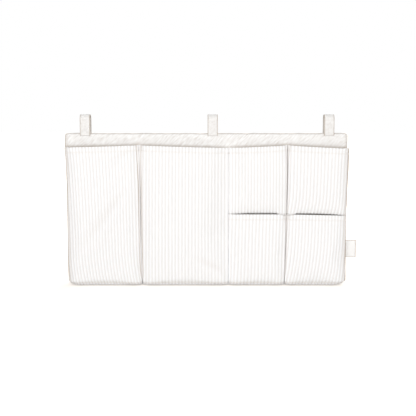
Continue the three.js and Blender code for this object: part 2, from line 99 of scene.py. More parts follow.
def drawn_half(level):
    """Half the width at a height: the filled pockets draw the sides in below their mouths."""
    return HALF_WIDTH - DRAW_IN * np.clip((MOUTH_LEVEL - level) / (MOUTH_LEVEL - BOTTOM), 0, 1)


def outline_half(level):
    return drawn_half(level) - corner_cut(level - BOTTOM, BOTTOM_CORNER)


def placed_across(half, columns):
    """Places across at one height, close together at the rolled sides, and how far each is from its side."""
    edge = SIDE_ROLL * np.linspace(0, 1, 9) ** 1.8
    x = np.concatenate([edge[:-1] - half, np.linspace(-1, 1, columns) * (half - SIDE_ROLL), half - edge[-2::-1]])
    return x, np.minimum(half - np.abs(x), SIDE_ROLL)


def back_half(from_side):
    """The back's half thickness near its sides, where the front and rear cloths close on each other."""
    short = 1 - np.clip(from_side / SIDE_ROLL, 0, 1)
    return EDGE_HALF + (BACK_HALF - EDGE_HALF) * np.sqrt(np.maximum(1 - short * short, 0))


def points_at(x, y, z):
    """Points from their coordinates, some of which may be one number for all."""
    return np.stack(np.broadcast_arrays(x, y, z), axis=-1)


def quads(at):
    """Faces between the rows and columns of a grid of point numbers."""
    return np.stack([at[:-1, :-1], at[1:, :-1], at[1:, 1:], at[:-1, 1:]], axis=-1).reshape(-1, 4).tolist()


def placed(name, data):
    """A new object in the scene."""
    made = bpy.data.objects.new(name, data)
    bpy.context.scene.collection.objects.link(made)
    return made


def meshed(name, points, faces, smooth=True):
    mesh = bpy.data.meshes.new(name)
    mesh.from_pydata(np.reshape(points, (-1, 3)).tolist(), [], faces)
    if smooth:
        mesh.shade_smooth()
    return placed(name, mesh)


def shell(name, outer, inner, marks, rim=None, inner_marks=None):
    """A closed cloth: an outer and an inner grid of points, joined by rims, the first of them rounded by rim.
    marks go with the points: the distance across and down the cloth, and painted light, below 1 for painted shade."""
    rows, columns = outer.shape[:2]
    rim = outer[:0] if rim is None else rim
    number = np.arange((2 * rows + len(rim)) * columns).reshape(-1, columns)
    at, under = number[:rows], number[rows:2 * rows]
    top = np.concatenate([at[:1], number[2 * rows:], under[:1]])
    faces = quads(at) + quads(under.T) + quads(top.T) + quads(np.stack([at[-1], under[-1]]))
    faces += quads(np.stack([at[:, 0], under[:, 0]])) + quads(np.stack([at[:, -1], under[:, -1]], axis=1))
    if len(rim):
        faces += [top[::-1, 0].tolist(), top[:, -1].tolist()]
    piece = meshed(name, np.concatenate([outer, inner, rim]), faces)
    values = [marks, marks if inner_marks is None else inner_marks, np.repeat(marks[:1], len(rim), axis=0)]
    cloth = piece.data.attributes.new("cloth", "FLOAT_VECTOR", "POINT")
    cloth.data.foreach_set("vector", np.concatenate(values).astype(np.float32).ravel())
    return piece


def finish_of(name, color, roughness, sheen=0.25):
    """A new cloth finish, with the numbers that are the same all over it on the shader."""
    material = bpy.data.materials.new(name)
    material.use_nodes = True
    shader = material.node_tree.nodes["Principled BSDF"]
    shader.inputs["Base Color"].default_value = (*color, 1)
    shader.inputs["Roughness"].default_value = roughness
    shader.inputs["Specular IOR Level"].default_value = 0.25
    shader.inputs["Sheen Weight"].default_value = sheen
    shader.inputs["Sheen Roughness"].default_value = 0.5
    return material


def add(owner, kind, *values, output=0, **settings):
    """A node of a finish. Its inputs, in order, are numbers or the outputs of other nodes."""
    made = owner.node_tree.nodes.new("ShaderNode" + kind)
    for name, setting in settings.items():
        setattr(made, name, setting)
    for socket, value in zip(made.inputs, values):
        if isinstance(value, bpy.types.NodeSocket):
            owner.node_tree.links.new(value, socket)
        elif value is not None:
            socket.default_value = value
    return made.outputs[output]


def sums(owner, operation, *values):
    return add(owner, "Math", *values, operation=operation)


def scaled(material, value, factor, base):
    """A value times a factor, on top of a base."""
    return sums(material, "MULTIPLY_ADD", value, factor, base)


def between(material, share, low, high):
    """A colour between two, by a share that changes over the surface."""
    return add(material, "Mix", share, *[None] * 5, (*low, 1), (*high, 1), output=2, data_type="RGBA")


def noise(material, size, detail=2, stretch=(1, 1, 1)):
    """Uneven patches of about the given size in metres."""
    stretched = add(material, "Mapping", add(material, "TexCoord", output=3), None, None, stretch)
    return add(material, "TexNoise", stretched, None, 1 / size, detail)


def finished(material, height, depth, color=None):
    """Joins a height, worth so many metres, and a colour to the shader."""
    tree = material.node_tree
    shader, bump = tree.nodes["Principled BSDF"], tree.nodes.new("ShaderNodeBump")
    bump.inputs["Distance"].default_value = depth
    tree.links.new(height, bump.inputs["Height"])
    tree.links.new(bump.outputs[0], shader.inputs["Normal"])
    if color is not None:
        tree.links.new(color, shader.inputs["Base Color"])
    return material


def batting():
    material = finish_of("wadding", (0.95, 0.95, 0.94), 1.0)
    fluff = noise(material, 0.004, 6)
    return finished(material, fluff, 0.0015, between(material, fluff, (0.88, 0.88, 0.87), (0.97, 0.97, 0.96)))


def sewn_in(piece, body, slot, material, *nodes):
    """Gives a piece its finish, the body it moves with and the nodes it stands for."""
    piece.data.materials.append(material)
    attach(piece, body)
    if nodes:
        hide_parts(*nodes)


def wadding_layer(side):
    rows = []
    for level in np.linspace(wadding_high.z, wadding_low.z, 70):
        x, from_side = placed_across(outline_half(level) - WADDING_INSET, 90)
        from_end = min(wadding_high.z - level, level - wadding_low.z) / BACK_HALF
        half = (back_half(from_side) - WADDING_ROOM) * math.sqrt(1 - max(1 - from_end, 0) ** 2) + WADDING_EDGE
        half = half + WADDING_FLUFF * (waves(x, level, WADDING_WAVES) - 1) * (half > 0.001)
        rows.append(points_at(x, BACK_MIDDLE + side * half, level))
    return np.array(rows)


wadding_front = wadding_layer(-1)
wadding = shell("batting_slab", wadding_front, wadding_layer(1), np.zeros_like(wadding_front))
sewn_in(wadding, "caddy", "wadding", batting(), "back_wadding")

# Rear cloth: plain woven cotton, the back of the padded panel. It runs from the bottom seam round the bottom
# edge and up under the rear leg of the header, stands out over the wadding, and is topstitched round its edge.
GAP = 0.0003
CLOTH = 0.0012
BOTTOM_BEND = 0.0085
BEND_LEVEL = BOTTOM + BOTTOM_BEND
BOTTOM_SEAM = rear_low.y - GAP / 2
REAR_LEG_END = header_low.z
REAR_PUFF = 0.0022
PUFF_REACH = 0.03
PUFF_WAVES = (0.11, 0.067, 0.043)
EDGE_STITCH = 0.007
EDGE_DIP = (EDGE_STITCH * 0.6, EDGE_STITCH)
SEAM_SLACK = 0.07
SETTLING_SCALE = 10
SETTLING_FRAMES = 18
WEAVE = 0.0009
PLAIN_COLOR = (0.93, 0.912, 0.88)
PLAIN_SHADE = (0.86, 0.83, 0.785)


def settled(grid, held, pressure, most, stretch):
    """How far a cloth gives when it is filled: a cloth run on a grid of it, held where it is sewn."""
    number = np.arange(held.size).reshape(held.shape)
    piece = meshed("settling", grid * SETTLING_SCALE, quads(number))
    sewn = piece.vertex_groups.new(name="sewn")
    sewn.add(number[held].tolist(), 1.0, "REPLACE")
    cloth = piece.modifiers.new("cloth", "CLOTH")
    cloth.settings.vertex_group_mass = "sewn"
    cloth.settings.quality = 6
    cloth.settings.mass = 0.2
    cloth.settings.effector_weights.gravity = 0
    cloth.settings.use_pressure = True
    cloth.settings.uniform_pressure_force = pressure
    cloth.settings.shrink_min = -stretch
    cloth.settings.bending_stiffness = 2
    cloth.collision_settings.use_collision = False
    for moment in range(1, SETTLING_FRAMES + 1):
        bpy.context.scene.frame_set(moment)
    evaluated = piece.evaluated_get(bpy.context.evaluated_depsgraph_get()).to_mesh()
    found = np.zeros(grid.size, np.float32)
    evaluated.vertices.foreach_get("co", found)
    moved = found.reshape(grid.shape) / SETTLING_SCALE - grid
    bpy.context.scene.frame_set(1)
    mesh = piece.data
    bpy.data.objects.remove(piece)
    bpy.data.meshes.remove(mesh)
    far = np.linalg.norm(moved, axis=-1, keepdims=True)
    return moved * most * np.tanh(far / most) / np.maximum(far, 1e-9)


def spline_weights(coarse, places):
    """Weights that carry values on a row of points, 0 to 1, smoothly to finer places on it."""
    at = np.clip(places, 0, 1) * (coarse - 1)
    first = np.minimum(at.astype(int), coarse - 2)
    share = at - first
    cubic = [(1 - share) ** 3, 3 * share**3 - 6 * share**2 + 4]
    cubic += [-3 * share**3 + 3 * share**2 + 3 * share + 1, share**3]
    weights = np.zeros((len(places), coarse))
    for number, value in enumerate(cubic):
        np.add.at(weights, (np.arange(len(places)), np.clip(first + number - 1, 0, coarse - 1)), value / 6)
    return weights


def spread_over(coarse, rows, columns):
    """Values on a coarse grid, carried smoothly to shares of its rows and, in each, to shares of its columns."""
    lines = np.einsum("ir,rck->ick", spline_weights(coarse.shape[0], rows), coarse)
    columns = np.broadcast_to(columns, (len(rows), np.shape(columns)[-1]))
    return np.array([spline_weights(coarse.shape[1], at) @ line for at, line in zip(columns, lines)])


def shares_of(grid):
    return np.linspace(0, 1, grid.shape[0]), np.linspace(0, 1, grid.shape[1])


def normals_of(grid):
    """Outward directions of a grid whose rows run down and columns to the right, seen from outside."""
    out = np.cross(np.gradient(grid, axis=0), np.gradient(grid, axis=1))
    return out / np.maximum(np.linalg.norm(out, axis=-1, keepdims=True), 1e-12)


def lengths_along(grid, axis):
    """Distances along the rows or columns of a grid, from its first."""
    parts = np.linalg.norm(np.diff(grid[..., :3], axis=axis), axis=-1)
    start = np.zeros_like(np.take(parts, [0], axis=axis))
    return np.concatenate([start, np.cumsum(parts, axis=axis)], axis=axis)


def marks_of(grid, painted_light=1.0):
    """Marks of a plain cloth: distance across from its middle, distance down, and painted light, 1 for none."""
    across = lengths_along(grid, 1)
    return points_at(across - across[:, -1:] / 2, lengths_along(grid, 0), painted_light)


def across_and_down(material):
    """Distances across and down in metres, and painted light, below 1 for painted shade, from the cloth's marks."""
    marks = add(material, "Attribute", output=1, attribute_name="cloth")
    return tuple(add(material, "SeparateXYZ", marks).node.outputs)


def wave(material, place, length):
    """Waves of the given length along a distance, from -1 to 1."""
    return sums(material, "SINE", sums(material, "MULTIPLY", place, 2 * math.pi / length))


def plain_cotton():
    """Plain weave: threads over and under each other, with slubs, and painted shade where the marks carry it."""
    material = finish_of("plain cotton", PLAIN_COLOR, 0.92)
    across, down, painted_light = across_and_down(material)
    crossing = sums(material, "MULTIPLY", wave(material, across, WEAVE), wave(material, down, WEAVE))
    slubs = noise(material, 0.006, 4, (1, 1, 7))
    height = scaled(material, crossing, 0.35, slubs)
    tone = scaled(material, crossing, 0.12, scaled(material, slubs, 0.5, 0.45))
    # painted shade: the marks darken the tone along the rear cloth's stitched edges
    tone = sums(material, "MINIMUM", tone, scaled(material, painted_light, 0.7, 0.3))
    return finished(material, height, 0.00018, between(material, tone, PLAIN_SHADE, PLAIN_COLOR))


def rear_surface(columns, rises, turns):
    """The rear cloth's outer face, from the bottom seam round the bend and up."""
    end = REAR_LEG_END - GAP
    rows = []
    for turn, rise in [(0, 0)] + [(t, 0) for t in turns] + [(math.pi / 2, r) for r in rises]:
        level = BEND_LEVEL + (end - BEND_LEVEL) * rise - BOTTOM_BEND * math.cos(turn)
        x, from_side = placed_across(outline_half(level), columns)
        y = BACK_MIDDLE + back_half(from_side) - BOTTOM_BEND + BOTTOM_BEND * math.sin(turn)
        rows.append(points_at(x, y, level))
    rows[0][:, 1] = BOTTOM_SEAM + GAP / 2
    return np.array(rows)


def grown(least, value, low, high):
    """From least at low to 1 at high, level at both ends."""
    return least + (1 - least) * step(value, low, high)


def puffed(grid):
    """How a cloth stands out over its filling, drawn in at a row of stitches near its edges, and its painted shade.
    """
    x, z = grid[..., 0], grid[..., 2]
    from_edge = np.minimum(outline_half(z) - np.abs(x), z - BOTTOM)
    swell = step(from_edge, EDGE_STITCH, EDGE_STITCH + PUFF_REACH) + 0.25 * step(from_edge, 0.001, EDGE_DIP[0])
    swell = swell - 0.25 * step(from_edge, *EDGE_DIP)
    uneven = 1 + 0.28 * waves(x, z, PUFF_WAVES)
    # painted shade: darker from the row of stitches out to the edges
    painted_light = grown(0.35, from_edge, EDGE_STITCH, EDGE_STITCH + 0.004)
    return normals_of(grid) * (REAR_PUFF * swell * uneven)[..., None], painted_light


def close_sides(outer, inner, rows, top=1):
    """Takes a cloth's inner face out to its side edges, where it is sewn to the cloth on the other side."""
    for end in (0, -1):
        edge = outer[rows, end]
        seam = points_at(edge[:, 0], BACK_MIDDLE, np.minimum(edge[:, 2], top))
        inner[rows, end] = seam + SEAM_SLACK * (edge - seam)


rear_turns = np.linspace(0.15, 1, 9) * math.pi / 2
rear_face = rear_surface(columns=120, rises=np.linspace(0.02, 1, 60), turns=rear_turns)
coarse_rear = rear_surface(columns=24, rises=np.linspace(0.05, 1, 26), turns=np.linspace(0.4, 1, 3) * math.pi / 2)
held = np.ones(coarse_rear.shape[:2], bool)
held[4:-1, 3:-3] = False
give = settled(coarse_rear, held, pressure=3.0, most=0.0018, stretch=0.01)
swell, painted_light = puffed(rear_face)
rear_face = rear_face + swell + spread_over(give, *shares_of(rear_face))
rear_inside = rear_face - normals_of(rear_face) * CLOTH
close_sides(rear_face, rear_inside, slice(len(rear_turns) + 1, None))
cotton = plain_cotton()
rear = shell("rear_panel", rear_face, rear_inside, marks_of(rear_face, painted_light))
sewn_in(rear, "caddy", "plain_cloth", cotton, "rear_cloth")

# Face cloth: the same cotton in front of the wadding. It hangs behind the pockets, shows down in the pleats
# between them, and turns forward at the bottom as the pockets' floor, to be sewn in the bottom seam.
FLOOR_STACK = CLOTH + GAP + CLOTH
FACE_BEND = BOTTOM_BEND - FLOOR_STACK
FACE_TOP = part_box("face_cloth")[1].z


def face_layer(inset):
    rows = []
    drops = [(share, 0) for share in np.linspace(0, 1, 40)] + [(1, bend) for bend in (*np.linspace(0.15, 1, 7), 1)]
    for share, bend in drops:
        turn = bend * math.pi / 2
        level = FACE_TOP + (BEND_LEVEL - FACE_TOP) * share - FACE_BEND * math.sin(turn)
        x, from_side = placed_across(outline_half(level), 60)
        y = BACK_MIDDLE - back_half(from_side) - FACE_BEND + (FACE_BEND + inset) * math.cos(turn)
        rows.append(points_at(x, y, level - inset * math.sin(turn)))
    rows[-1][:, 1] = BOTTOM_SEAM + GAP / 2
    return np.array(rows)


face_front = face_layer(0)
face = shell("face_panel", face_front, face_layer(CLOTH), marks_of(face_front))
sewn_in(face, "caddy", "plain_cloth", cotton, "face_cloth")

# Pocket cloths: six pieces of thick white cloth with wide upright ribs. Each is hemmed at its mouth with one
# row of stitches and sewn down at its seams; the bottoms of the tall ones turn under to the bottom seam.
POCKET_DEPTH = rear_high.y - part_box("left_pocket_cloth")[0].y - (BACK_REAR - BACK_FRONT)
SEAM_HALF = 0.0005
POCKET_STACK = 0.0026
SEAM_NOTCH = 0.0012
CORNER_TURN = math.pi / 3
TALL_MOUTH_DEPTH = 0.014
SMALL_MOUTH_DEPTH = 0.0125
PATCH_SWELL = 0.0045
PATCH_FOOT = 0.0029
PATCH_FOOT_POWER = 80
PATCH_TUCK = 0.0022
SIDE_INSET = 0.0018
LEFT_WAIST = 0.001
WAIST_START = (0.05, 0.1)
WAIST_END = (0.28, 0.38)
SLIT_LEVEL = TOP - 0.1204
SLIT_FALL = 0.0018
SLIT_GAP = 0.001
BRIDGE = (0.009, 0.014)
FOOT_SHARE = 0.86
MOUTH_FADES = 0.12
NARROWS = 0.024
NEAR_SHARE = 0.92
EDGE_BAND = (0.0002, 0.0016)
SIDE_BAND = 0.005
WALL_BAND = (-0.0013, 0.0006)
WALL_PALER = 0.92
RIB_DEPTH = 0.00055
RIB_PLACES = np.array([0, 0.08, 0.18, 0.33, 0.5, 0.67, 0.82, 0.92])
WALL_COLUMN = 0.0006
WALL_POINTS = 16
CORNER_POINTS = 8
FRONT_POINTS = 162
ROW = 0.0042
HEM = 0.007
HEM_END = HEM + 0.0014
HEM_THICK = 0.0022
HEM_PINCH = 0.0004
HEM_THREAD = 0.0002
HEM_ROWS = [0, 0.0006, 0.0014, 0.0026, 0.004, 0.0052, 0.0062, HEM, 0.0078, 0.0088, 0.0105, 0.0125, 0.0155]
FOOT_ROWS = (0.003, 0.002, 0.0012, 0.0005, 0)
FOOT_STITCHES = 1.3
PATCH_STITCHES = 0.003
STITCH_DIP = 0.0011
HELD_COLUMNS = 6
FLAT_EDGE = 0.003
FLAT_MOUTH = 0.0035
HEM_SHADE = 0.12
STITCH_SHADE = 0.3
UNDER_SHADE = 0.6
UNDER_BAND = (0.85, 1)
FOLD_SHADE = 0.12
RIDGE_COLOR = (0.974, 0.98, 0.99)
# dark end of the ribbed cloth's colour: the rib valleys' own deeper tone and all painted shade
VALLEY_AND_SHADE_COLOR = (0.46, 0.36, 0.27)
VALLEY_TONE = 0.735


def share_down(level):
    """A height's share of the way from the mouths to the bottom."""
    return (MOUTH_LEVEL - level) / (MOUTH_LEVEL - BOTTOM)


def seam(start, settle, sweep, power):
    """A seam between pockets that settles sideways below the mouths and sweeps sideways towards the bottom."""
    def place(level):
        down = np.clip(share_down(level), 0, 1)
        return start + settle * step(down, 0, 0.35) + sweep * down**power
    return place


seam_a = seam(-HALF_WIDTH + 0.1102, 0.0018, 0.0036, 6)
seam_b = seam(HALF_WIDTH - 0.176, 0, -0.0006, 3)
seam_c = seam(HALF_WIDTH - 0.089, 0, -0.0046, 3)


def left_side(level):
    """The left pocket's outer seam, which is drawn in at a waist below the mouth."""
    down = share_down(level)
    return SIDE_INSET - drawn_half(level) + LEFT_WAIST * step(down, *WAIST_START) * (1 - step(down, *WAIST_END))


def right_side(level):
    return drawn_half(level) - SIDE_INSET


# How a pocket's wall leaves its seam: its share of the pocket's depth, how far it leans into the pocket at the
# mouth and below (or past its seam, where negative), the pocket's bottom corner, what is left of a pleat at the
# very bottom, half the gap at the seam, the radius of its turn to the front and how deep two neighbours meet.
# front, edge and inside: painted shade at silhouettes and in pleats; negative paints light on flat seams
LEFT_WAY = {"share": 0.7, "mouth_spread": -0.0028, "spread": -0.002, "corner": BOTTOM_CORNER, "foot": 1,
            "half": SEAM_HALF, "round": 0.005, "front": 0.22, "edge": 0.35, "inside": 0.97,
            "from": 0.03, "to": 0.5}
RIGHT_WAY = dict(LEFT_WAY, mouth_spread=-0.005, spread=-0.0048)
PLEAT_WAY = {"share": 0.76, "mouth_spread": 0.0034, "spread": 0.0012, "corner": 0.0003, "foot": 0.25,
             "half": SEAM_HALF, "round": 0.003, "meet": 0.0038, "front": 0, "edge": 0.95, "inside": 0.1,
             "from": 0.6, "to": 1.05}
NARROW_WAY = dict(PLEAT_WAY, mouth_spread=0.003, spread=0.0001, round=0.0024, meet=0.0023, edge=0.4, inside=0.15)
FLAT_WAY = {"share": 0.24, "mouth_spread": 0, "spread": 0, "corner": 0.0003, "foot": 0.25,
            "half": 0.0001, "round": 0.0004, "meet": 0.0004, "front": -0.08, "edge": -0.25, "inside": -0.25,
            "from": 0.8, "to": 1.25}
STEP_WAY = dict(FLAT_WAY, share=0.6, round=0.0008, meet=0.0009, front=-0.03, edge=-0.05, inside=0)


def hanging_mouth(peak_line, low_line, drop):
    """A mouth that is pulled up at its pleated seam and hangs towards its other side."""
    peak, low = peak_line(MOUTH_LEVEL), low_line(MOUTH_LEVEL)
    return lambda x: MOUTH_LEVEL - (drop - MOUTH_DROP) * np.clip((x - peak) / (low - peak), 0, 1) ** 0.75


def slit(x):
    start = seam_c(SLIT_LEVEL)
    return SLIT_LEVEL - SLIT_FALL * np.clip((x - start) / (right_side(SLIT_LEVEL) - start), 0, 1)


def slit_mouth(x):
    return slit(x) - SLIT_GAP / 2


def tall_pocket(left, right, mouth, mouth_depth, ribs, folds=()):
    def deep(down):
        return mouth_depth + (POCKET_DEPTH - mouth_depth) * math.sin(math.pi / 2 * down)

    return {"left": left, "right": right, "mouth": mouth, "foot": lambda x: BEND_LEVEL + 0 * x,
            "deep": deep, "pleat_deep": deep, "under": True, "ribs": ribs, "folds": folds}


def patch_pocket(left, right, mouth, ribs):
    """A small upper pocket. Its foot is sewn down at the slit and tucked up between the bridges at its seams."""
    def foot(x):
        other = left[0] if right[0] is seam_c else right[0]
        tuck = PATCH_TUCK * np.maximum(0.65 - np.abs(x - other(SLIT_LEVEL)) / 0.1, 0.3)
        return slit(x) + SLIT_GAP / 2 - tuck * step(np.abs(x - seam_c(SLIT_LEVEL)), *BRIDGE)

    def pleat_deep(down):
        return SMALL_MOUTH_DEPTH + PATCH_SWELL * math.sin(math.pi * down)

    def deep(down):
        return pleat_deep(down) - (SMALL_MOUTH_DEPTH - PATCH_FOOT) * down**PATCH_FOOT_POWER

    return {"left": left, "right": right, "mouth": mouth, "foot": foot, "deep": deep, "pleat_deep": pleat_deep,
            "under": False, "ribs": ribs, "folds": ()}


# Ribs: their pitch, where one valley starts, how far they lean from mouth to foot at the pocket's left and
# right side, and how far they sweep sideways at the foot, from a share of the way down. Folds: the two ends
# of each, its width and its height.
POCKETS = {
    "left_pocket": tall_pocket(
        (left_side, LEFT_WAY), (seam_a, PLEAT_WAY), hanging_mouth(seam_a, left_side, 0.0211),
        TALL_MOUTH_DEPTH, (0.00476, -0.20205, 0.0105, 0.0028, 0.0112, 0.68),
        [((-0.104, -0.095), (-0.182, -0.2), 0.008, 0.0022), ((-0.104, -0.0435), (-0.15, -0.0615), 0.004, 0.0014)]),
    "centre_pocket": tall_pocket(
        (seam_a, PLEAT_WAY), (seam_b, FLAT_WAY), hanging_mouth(seam_a, seam_b, 0.022),
        TALL_MOUTH_DEPTH, (0.00487, -0.0887, -0.0016, 0.0, 0.0, 0.8),
        [((0.028, -0.228), (-0.03, -0.2), 0.006, 0.0004)]),
    "mid_upper_pocket": patch_pocket(
        (seam_b, FLAT_WAY), (seam_c, NARROW_WAY), hanging_mouth(seam_c, seam_b, 0.022),
        (0.00463, 0.0389, 0.0, 0.001, 0.0, 0.7)),
    "right_upper_pocket": patch_pocket(
        (seam_c, NARROW_WAY), (right_side, RIGHT_WAY), hanging_mouth(seam_c, right_side, 0.0226),
        (0.0051, 0.1255, -0.001, -0.0035, -0.006, 0.6)),
    "mid_lower_pocket": tall_pocket(
        (seam_b, STEP_WAY), (seam_c, NARROW_WAY), slit_mouth,
        SMALL_MOUTH_DEPTH, (0.00513, 0.0393, -0.0022, -0.0035, -0.0018, 0.7)),
    "right_lower_pocket": tall_pocket(
        (seam_c, NARROW_WAY), (right_side, RIGHT_WAY), slit_mouth,
        SMALL_MOUTH_DEPTH, (0.00482, 0.1251, -0.0036, -0.0026, -0.0105, 0.2)),
}


def pocket_end(line, way, direction, level, cut_level, down, deep):
    """One end of a pocket's cross-section: out from the seam along the wall and round the corner. Its painted shade
    comes from front, edge and inside; the last sets in between from and to, as shares of the turn."""
    outside = way["spread"] < 0
    shoulder = max(deep * (way["share"] + (FOOT_SHARE - way["share"]) * step(down, 0.6, 1)), POCKET_STACK)
    closing = way["foot"] + (1 - way["foot"]) * step(cut_level, BOTTOM, BOTTOM + NARROWS)
    radius = way["round"] * closing
    rise = min(radius * math.sin(CORNER_TURN), shoulder * 0.8)
    spread = way["spread"] + (way["mouth_spread"] - way["spread"]) * math.exp(-down / MOUTH_FADES)
    spread = spread * (1 - np.clip(1 - (cut_level - BOTTOM) / way["corner"], 0, 1))
    base = line(level) + direction * (way["half"] * closing + corner_cut(cut_level - BOTTOM, way["corner"]))
    wall = np.linspace(0, 1, WALL_POINTS)
    turns = np.linspace(0, CORNER_TURN, CORNER_POINTS)[1:]
    start = GAP - (BACK_HALF - back_half(SIDE_INSET)) * outside
    wall_depth = start + (shoulder - rise - start) * wall
    if outside:
        aside = spread * np.sin(math.pi / 2 * wall)
    else:
        near = way["half"] * closing * NEAR_SHARE
        meet = rise + (way["meet"] - rise) * closing
        aside = (spread * closing + near) * (1 - step(shoulder - wall_depth, rise, meet)) - near
    x = base + direction * np.concatenate([aside, aside[-1] + radius * (1 - np.cos(turns))])
    depth = np.concatenate([wall_depth, shoulder - rise + rise * np.sin(turns) / math.sin(CORNER_TURN)])
    bend = np.concatenate([np.zeros(len(wall)), turns]) / CORNER_TURN
    behind = shoulder - depth
    shade = way["front"] + (way["edge"] - way["front"]) * step(behind, *EDGE_BAND)
    shade = shade + (way["inside"] - way["edge"]) * step(behind, rise * way["from"], rise * way["to"])
    if outside:
        # painted shade fades out behind the corner's turn, so the side walls stay pale from the side
        shade = shade * (1 - WALL_PALER * step(behind - rise, *WALL_BAND))
    return x, depth, bend, shade, shoulder


def crown(distance, share, deep):
    """The swell of a pocket's front beside a shoulder that has a share of its depth."""
    reach = max(math.tan(CORNER_TURN) * math.pi / 2 * deep * (1 - share), GAP)
    return share + (1 - share) * np.sin(math.pi / 2 * np.clip(distance / reach, 0, 1))


def pocket_row(pocket, v):
    """The cross-section of a pocket: down its front for v from 0 to 1, round the bottom to 2, and under to 3.
    Each point has its place and the painted shade there."""
    down, turn, under = min(v, 1), np.clip(v - 1, 0, 1) * math.pi / 2, np.clip(v - 2, 0, 1)
    start = pocket["mouth"](pocket["left"][0](MOUTH_LEVEL))
    guess = start + (pocket["foot"](0.0) - start) * down
    deep = pocket["deep"](down)
    ends = []
    for (line, way), direction in ((pocket["left"], 1), (pocket["right"], -1)):
        own = pocket["pleat_deep"](down) if way is NARROW_WAY else deep
        cut_level = guess - BOTTOM_BEND * math.sin(turn)
        ends.append((own, *pocket_end(line, way, direction, guess, cut_level, down, own)))
    (left_deep, lx, ld, lb, ls, left_shoulder), (right_deep, rx, rd, rb, rs, right_shoulder) = ends
    fx = np.linspace(lx[-1], rx[-1], FRONT_POINTS)[1:-1]
    from_left, from_right = fx - lx[-1], rx[-1] - fx
    fd = deep + (left_deep - deep) * (1 - step(from_left, *BRIDGE))
    fd = fd + (right_deep - deep) * (1 - step(from_right, *BRIDGE))
    fd = fd * crown(from_left, left_shoulder / left_deep, left_deep)
    fd = fd * crown(from_right, right_shoulder / right_deep, right_deep)
    # painted shade on the front, fading in from the sides over SIDE_BAND
    fs = ls[-1] * (1 - step(from_left, 0, SIDE_BAND)) + rs[-1] * (1 - step(from_right, 0, SIDE_BAND))
    x = np.concatenate([lx, fx, rx[::-1]])
    depth = np.concatenate([ld, fd, rd[::-1]])
    shoulder = np.concatenate([np.full_like(lx, left_shoulder), fd, np.full_like(rx, right_shoulder)])
    bend = np.concatenate([lb, np.ones_like(fx), rb[::-1]])
    shade = np.concatenate([ls, fs, rs[::-1]])
    level = pocket["mouth"](x) + (pocket["foot"](x) - pocket["mouth"](x)) * down
    seam_y = BOTTOM_SEAM - GAP / 2
    front_y = BACK_FRONT - shoulder + BOTTOM_BEND * (1 - math.cos(turn))
    back_y = BACK_FRONT - FACE_BEND + (FACE_BEND - GAP) * math.cos(turn)
    front_y, back_y = (y + (seam_y - y) * under for y in (front_y, back_y))
    reach = (depth - GAP) / (shoulder - GAP)
    y = back_y + (front_y - back_y) * reach - under * SEAM_NOTCH * np.sin(math.pi * reach) * (bend < 1)
    z = level - np.sin(turn) * ((FACE_BEND - GAP) * (1 - bend) + BOTTOM_BEND * bend)
    return np.stack([x, y, z, shade], axis=-1)


def along(line, places):
    """Points at the given distances along a line of points."""
    at = lengths_along(line, 0)
    return np.stack([np.interp(places, at, values) for values in line.T], axis=-1)


def pocket_surface(pocket, rows, shares):
    """A pocket's outer face before its ribs: each row's points are at the given shares of its length."""
    lines = [pocket_row(pocket, v) for v in rows]
    shares = np.broadcast_to(shares, (len(rows), np.shape(shares)[-1]))
    return np.array([along(line, share * lengths_along(line, 0)[-1]) for line, share in zip(lines, shares)])


def rib_count(line, far, ribs):
    """How many ribs lie between the first valley and each point of a row, far being its share of the way down."""
    pitch, first, left_lean, right_lean, sweep, start = ribs
    parts = np.diff(line[:, :3], axis=0)
    long = np.linalg.norm(parts, axis=-1)
    facing = parts[:, 0] / np.maximum(long, 1e-9)
    onward = long * (facing + (1 - facing) * step(facing, 0.8, 0.5))
    unrolled = np.concatenate([[0], np.cumsum(onward)])
    middle = np.argmin(np.abs(line[:, 0] - line[:, 0].mean()))
    place = unrolled - unrolled[middle] + line[middle, 0]
    share = (place - place[0]) / (place[-1] - place[0])
    lean = (left_lean + (right_lean - left_lean) * share) * far * (2 - far)
    lean = lean + sweep * np.clip((far - start) / (1.1 - start), 0, 1) ** 2.2
    return (place - lean - first) / pitch


def rib_columns(pocket, rows, fars):
    """Shares of each row's length for its columns: at the same places on every rib that runs from mouth to
    foot, and evenly spread over what lies beyond these at both ends."""
    lines = [pocket_row(pocket, v) for v in rows]
    counts = [rib_count(line, far, pocket["ribs"]) for line, far in zip(lines, fars)]
    longs = [lengths_along(line, 0) for line in lines]
    first = math.ceil(max(count[0] for count in counts))
    last = math.floor(min(count[-1] for count in counts))
    whole = np.append((np.arange(first, last)[:, None] + RIB_PLACES).ravel(), last)
    onto = [np.interp(whole, count, long) for count, long in zip(counts, longs)]
    before = math.ceil(max(on[0] for on in onto) / WALL_COLUMN)
    after = math.ceil(max(long[-1] - on[-1] for long, on in zip(longs, onto)) / WALL_COLUMN)
    places = [np.concatenate([np.linspace(0, on[0], before + 1)[:-1], on,
                              np.linspace(on[-1], long[-1], after + 1)[1:]]) for on, long in zip(onto, longs)]
    ribs = [np.interp(place, long, count) for place, long, count in zip(places, longs, counts)]
    return np.array([place / long[-1] for place, long in zip(places, longs)]), np.array(ribs)


def pocket_rows(pocket):
    """Rows down a pocket, close together in its hem and round its bottom."""
    height = float(pocket["mouth"](0.0) - pocket["foot"](0.0))
    rows = [d / height for d in HEM_ROWS + np.arange(HEM_ROWS[-1] + ROW, height - ROW / 2, ROW).tolist()]
    if pocket["under"]:
        return np.array(rows + [1] + (1 + np.linspace(0.1, 1, 10)).tolist() + [2.25, 2.5, 2.75, 3])
    return np.array(rows + [1 - drop / height for drop in FOOT_ROWS])


def rib_profile(ribs):
    """Rounded ribs with narrow valleys between: 0 in a valley, 1 on a ridge."""
    return np.abs(np.sin(math.pi * ribs)) ** 1.2


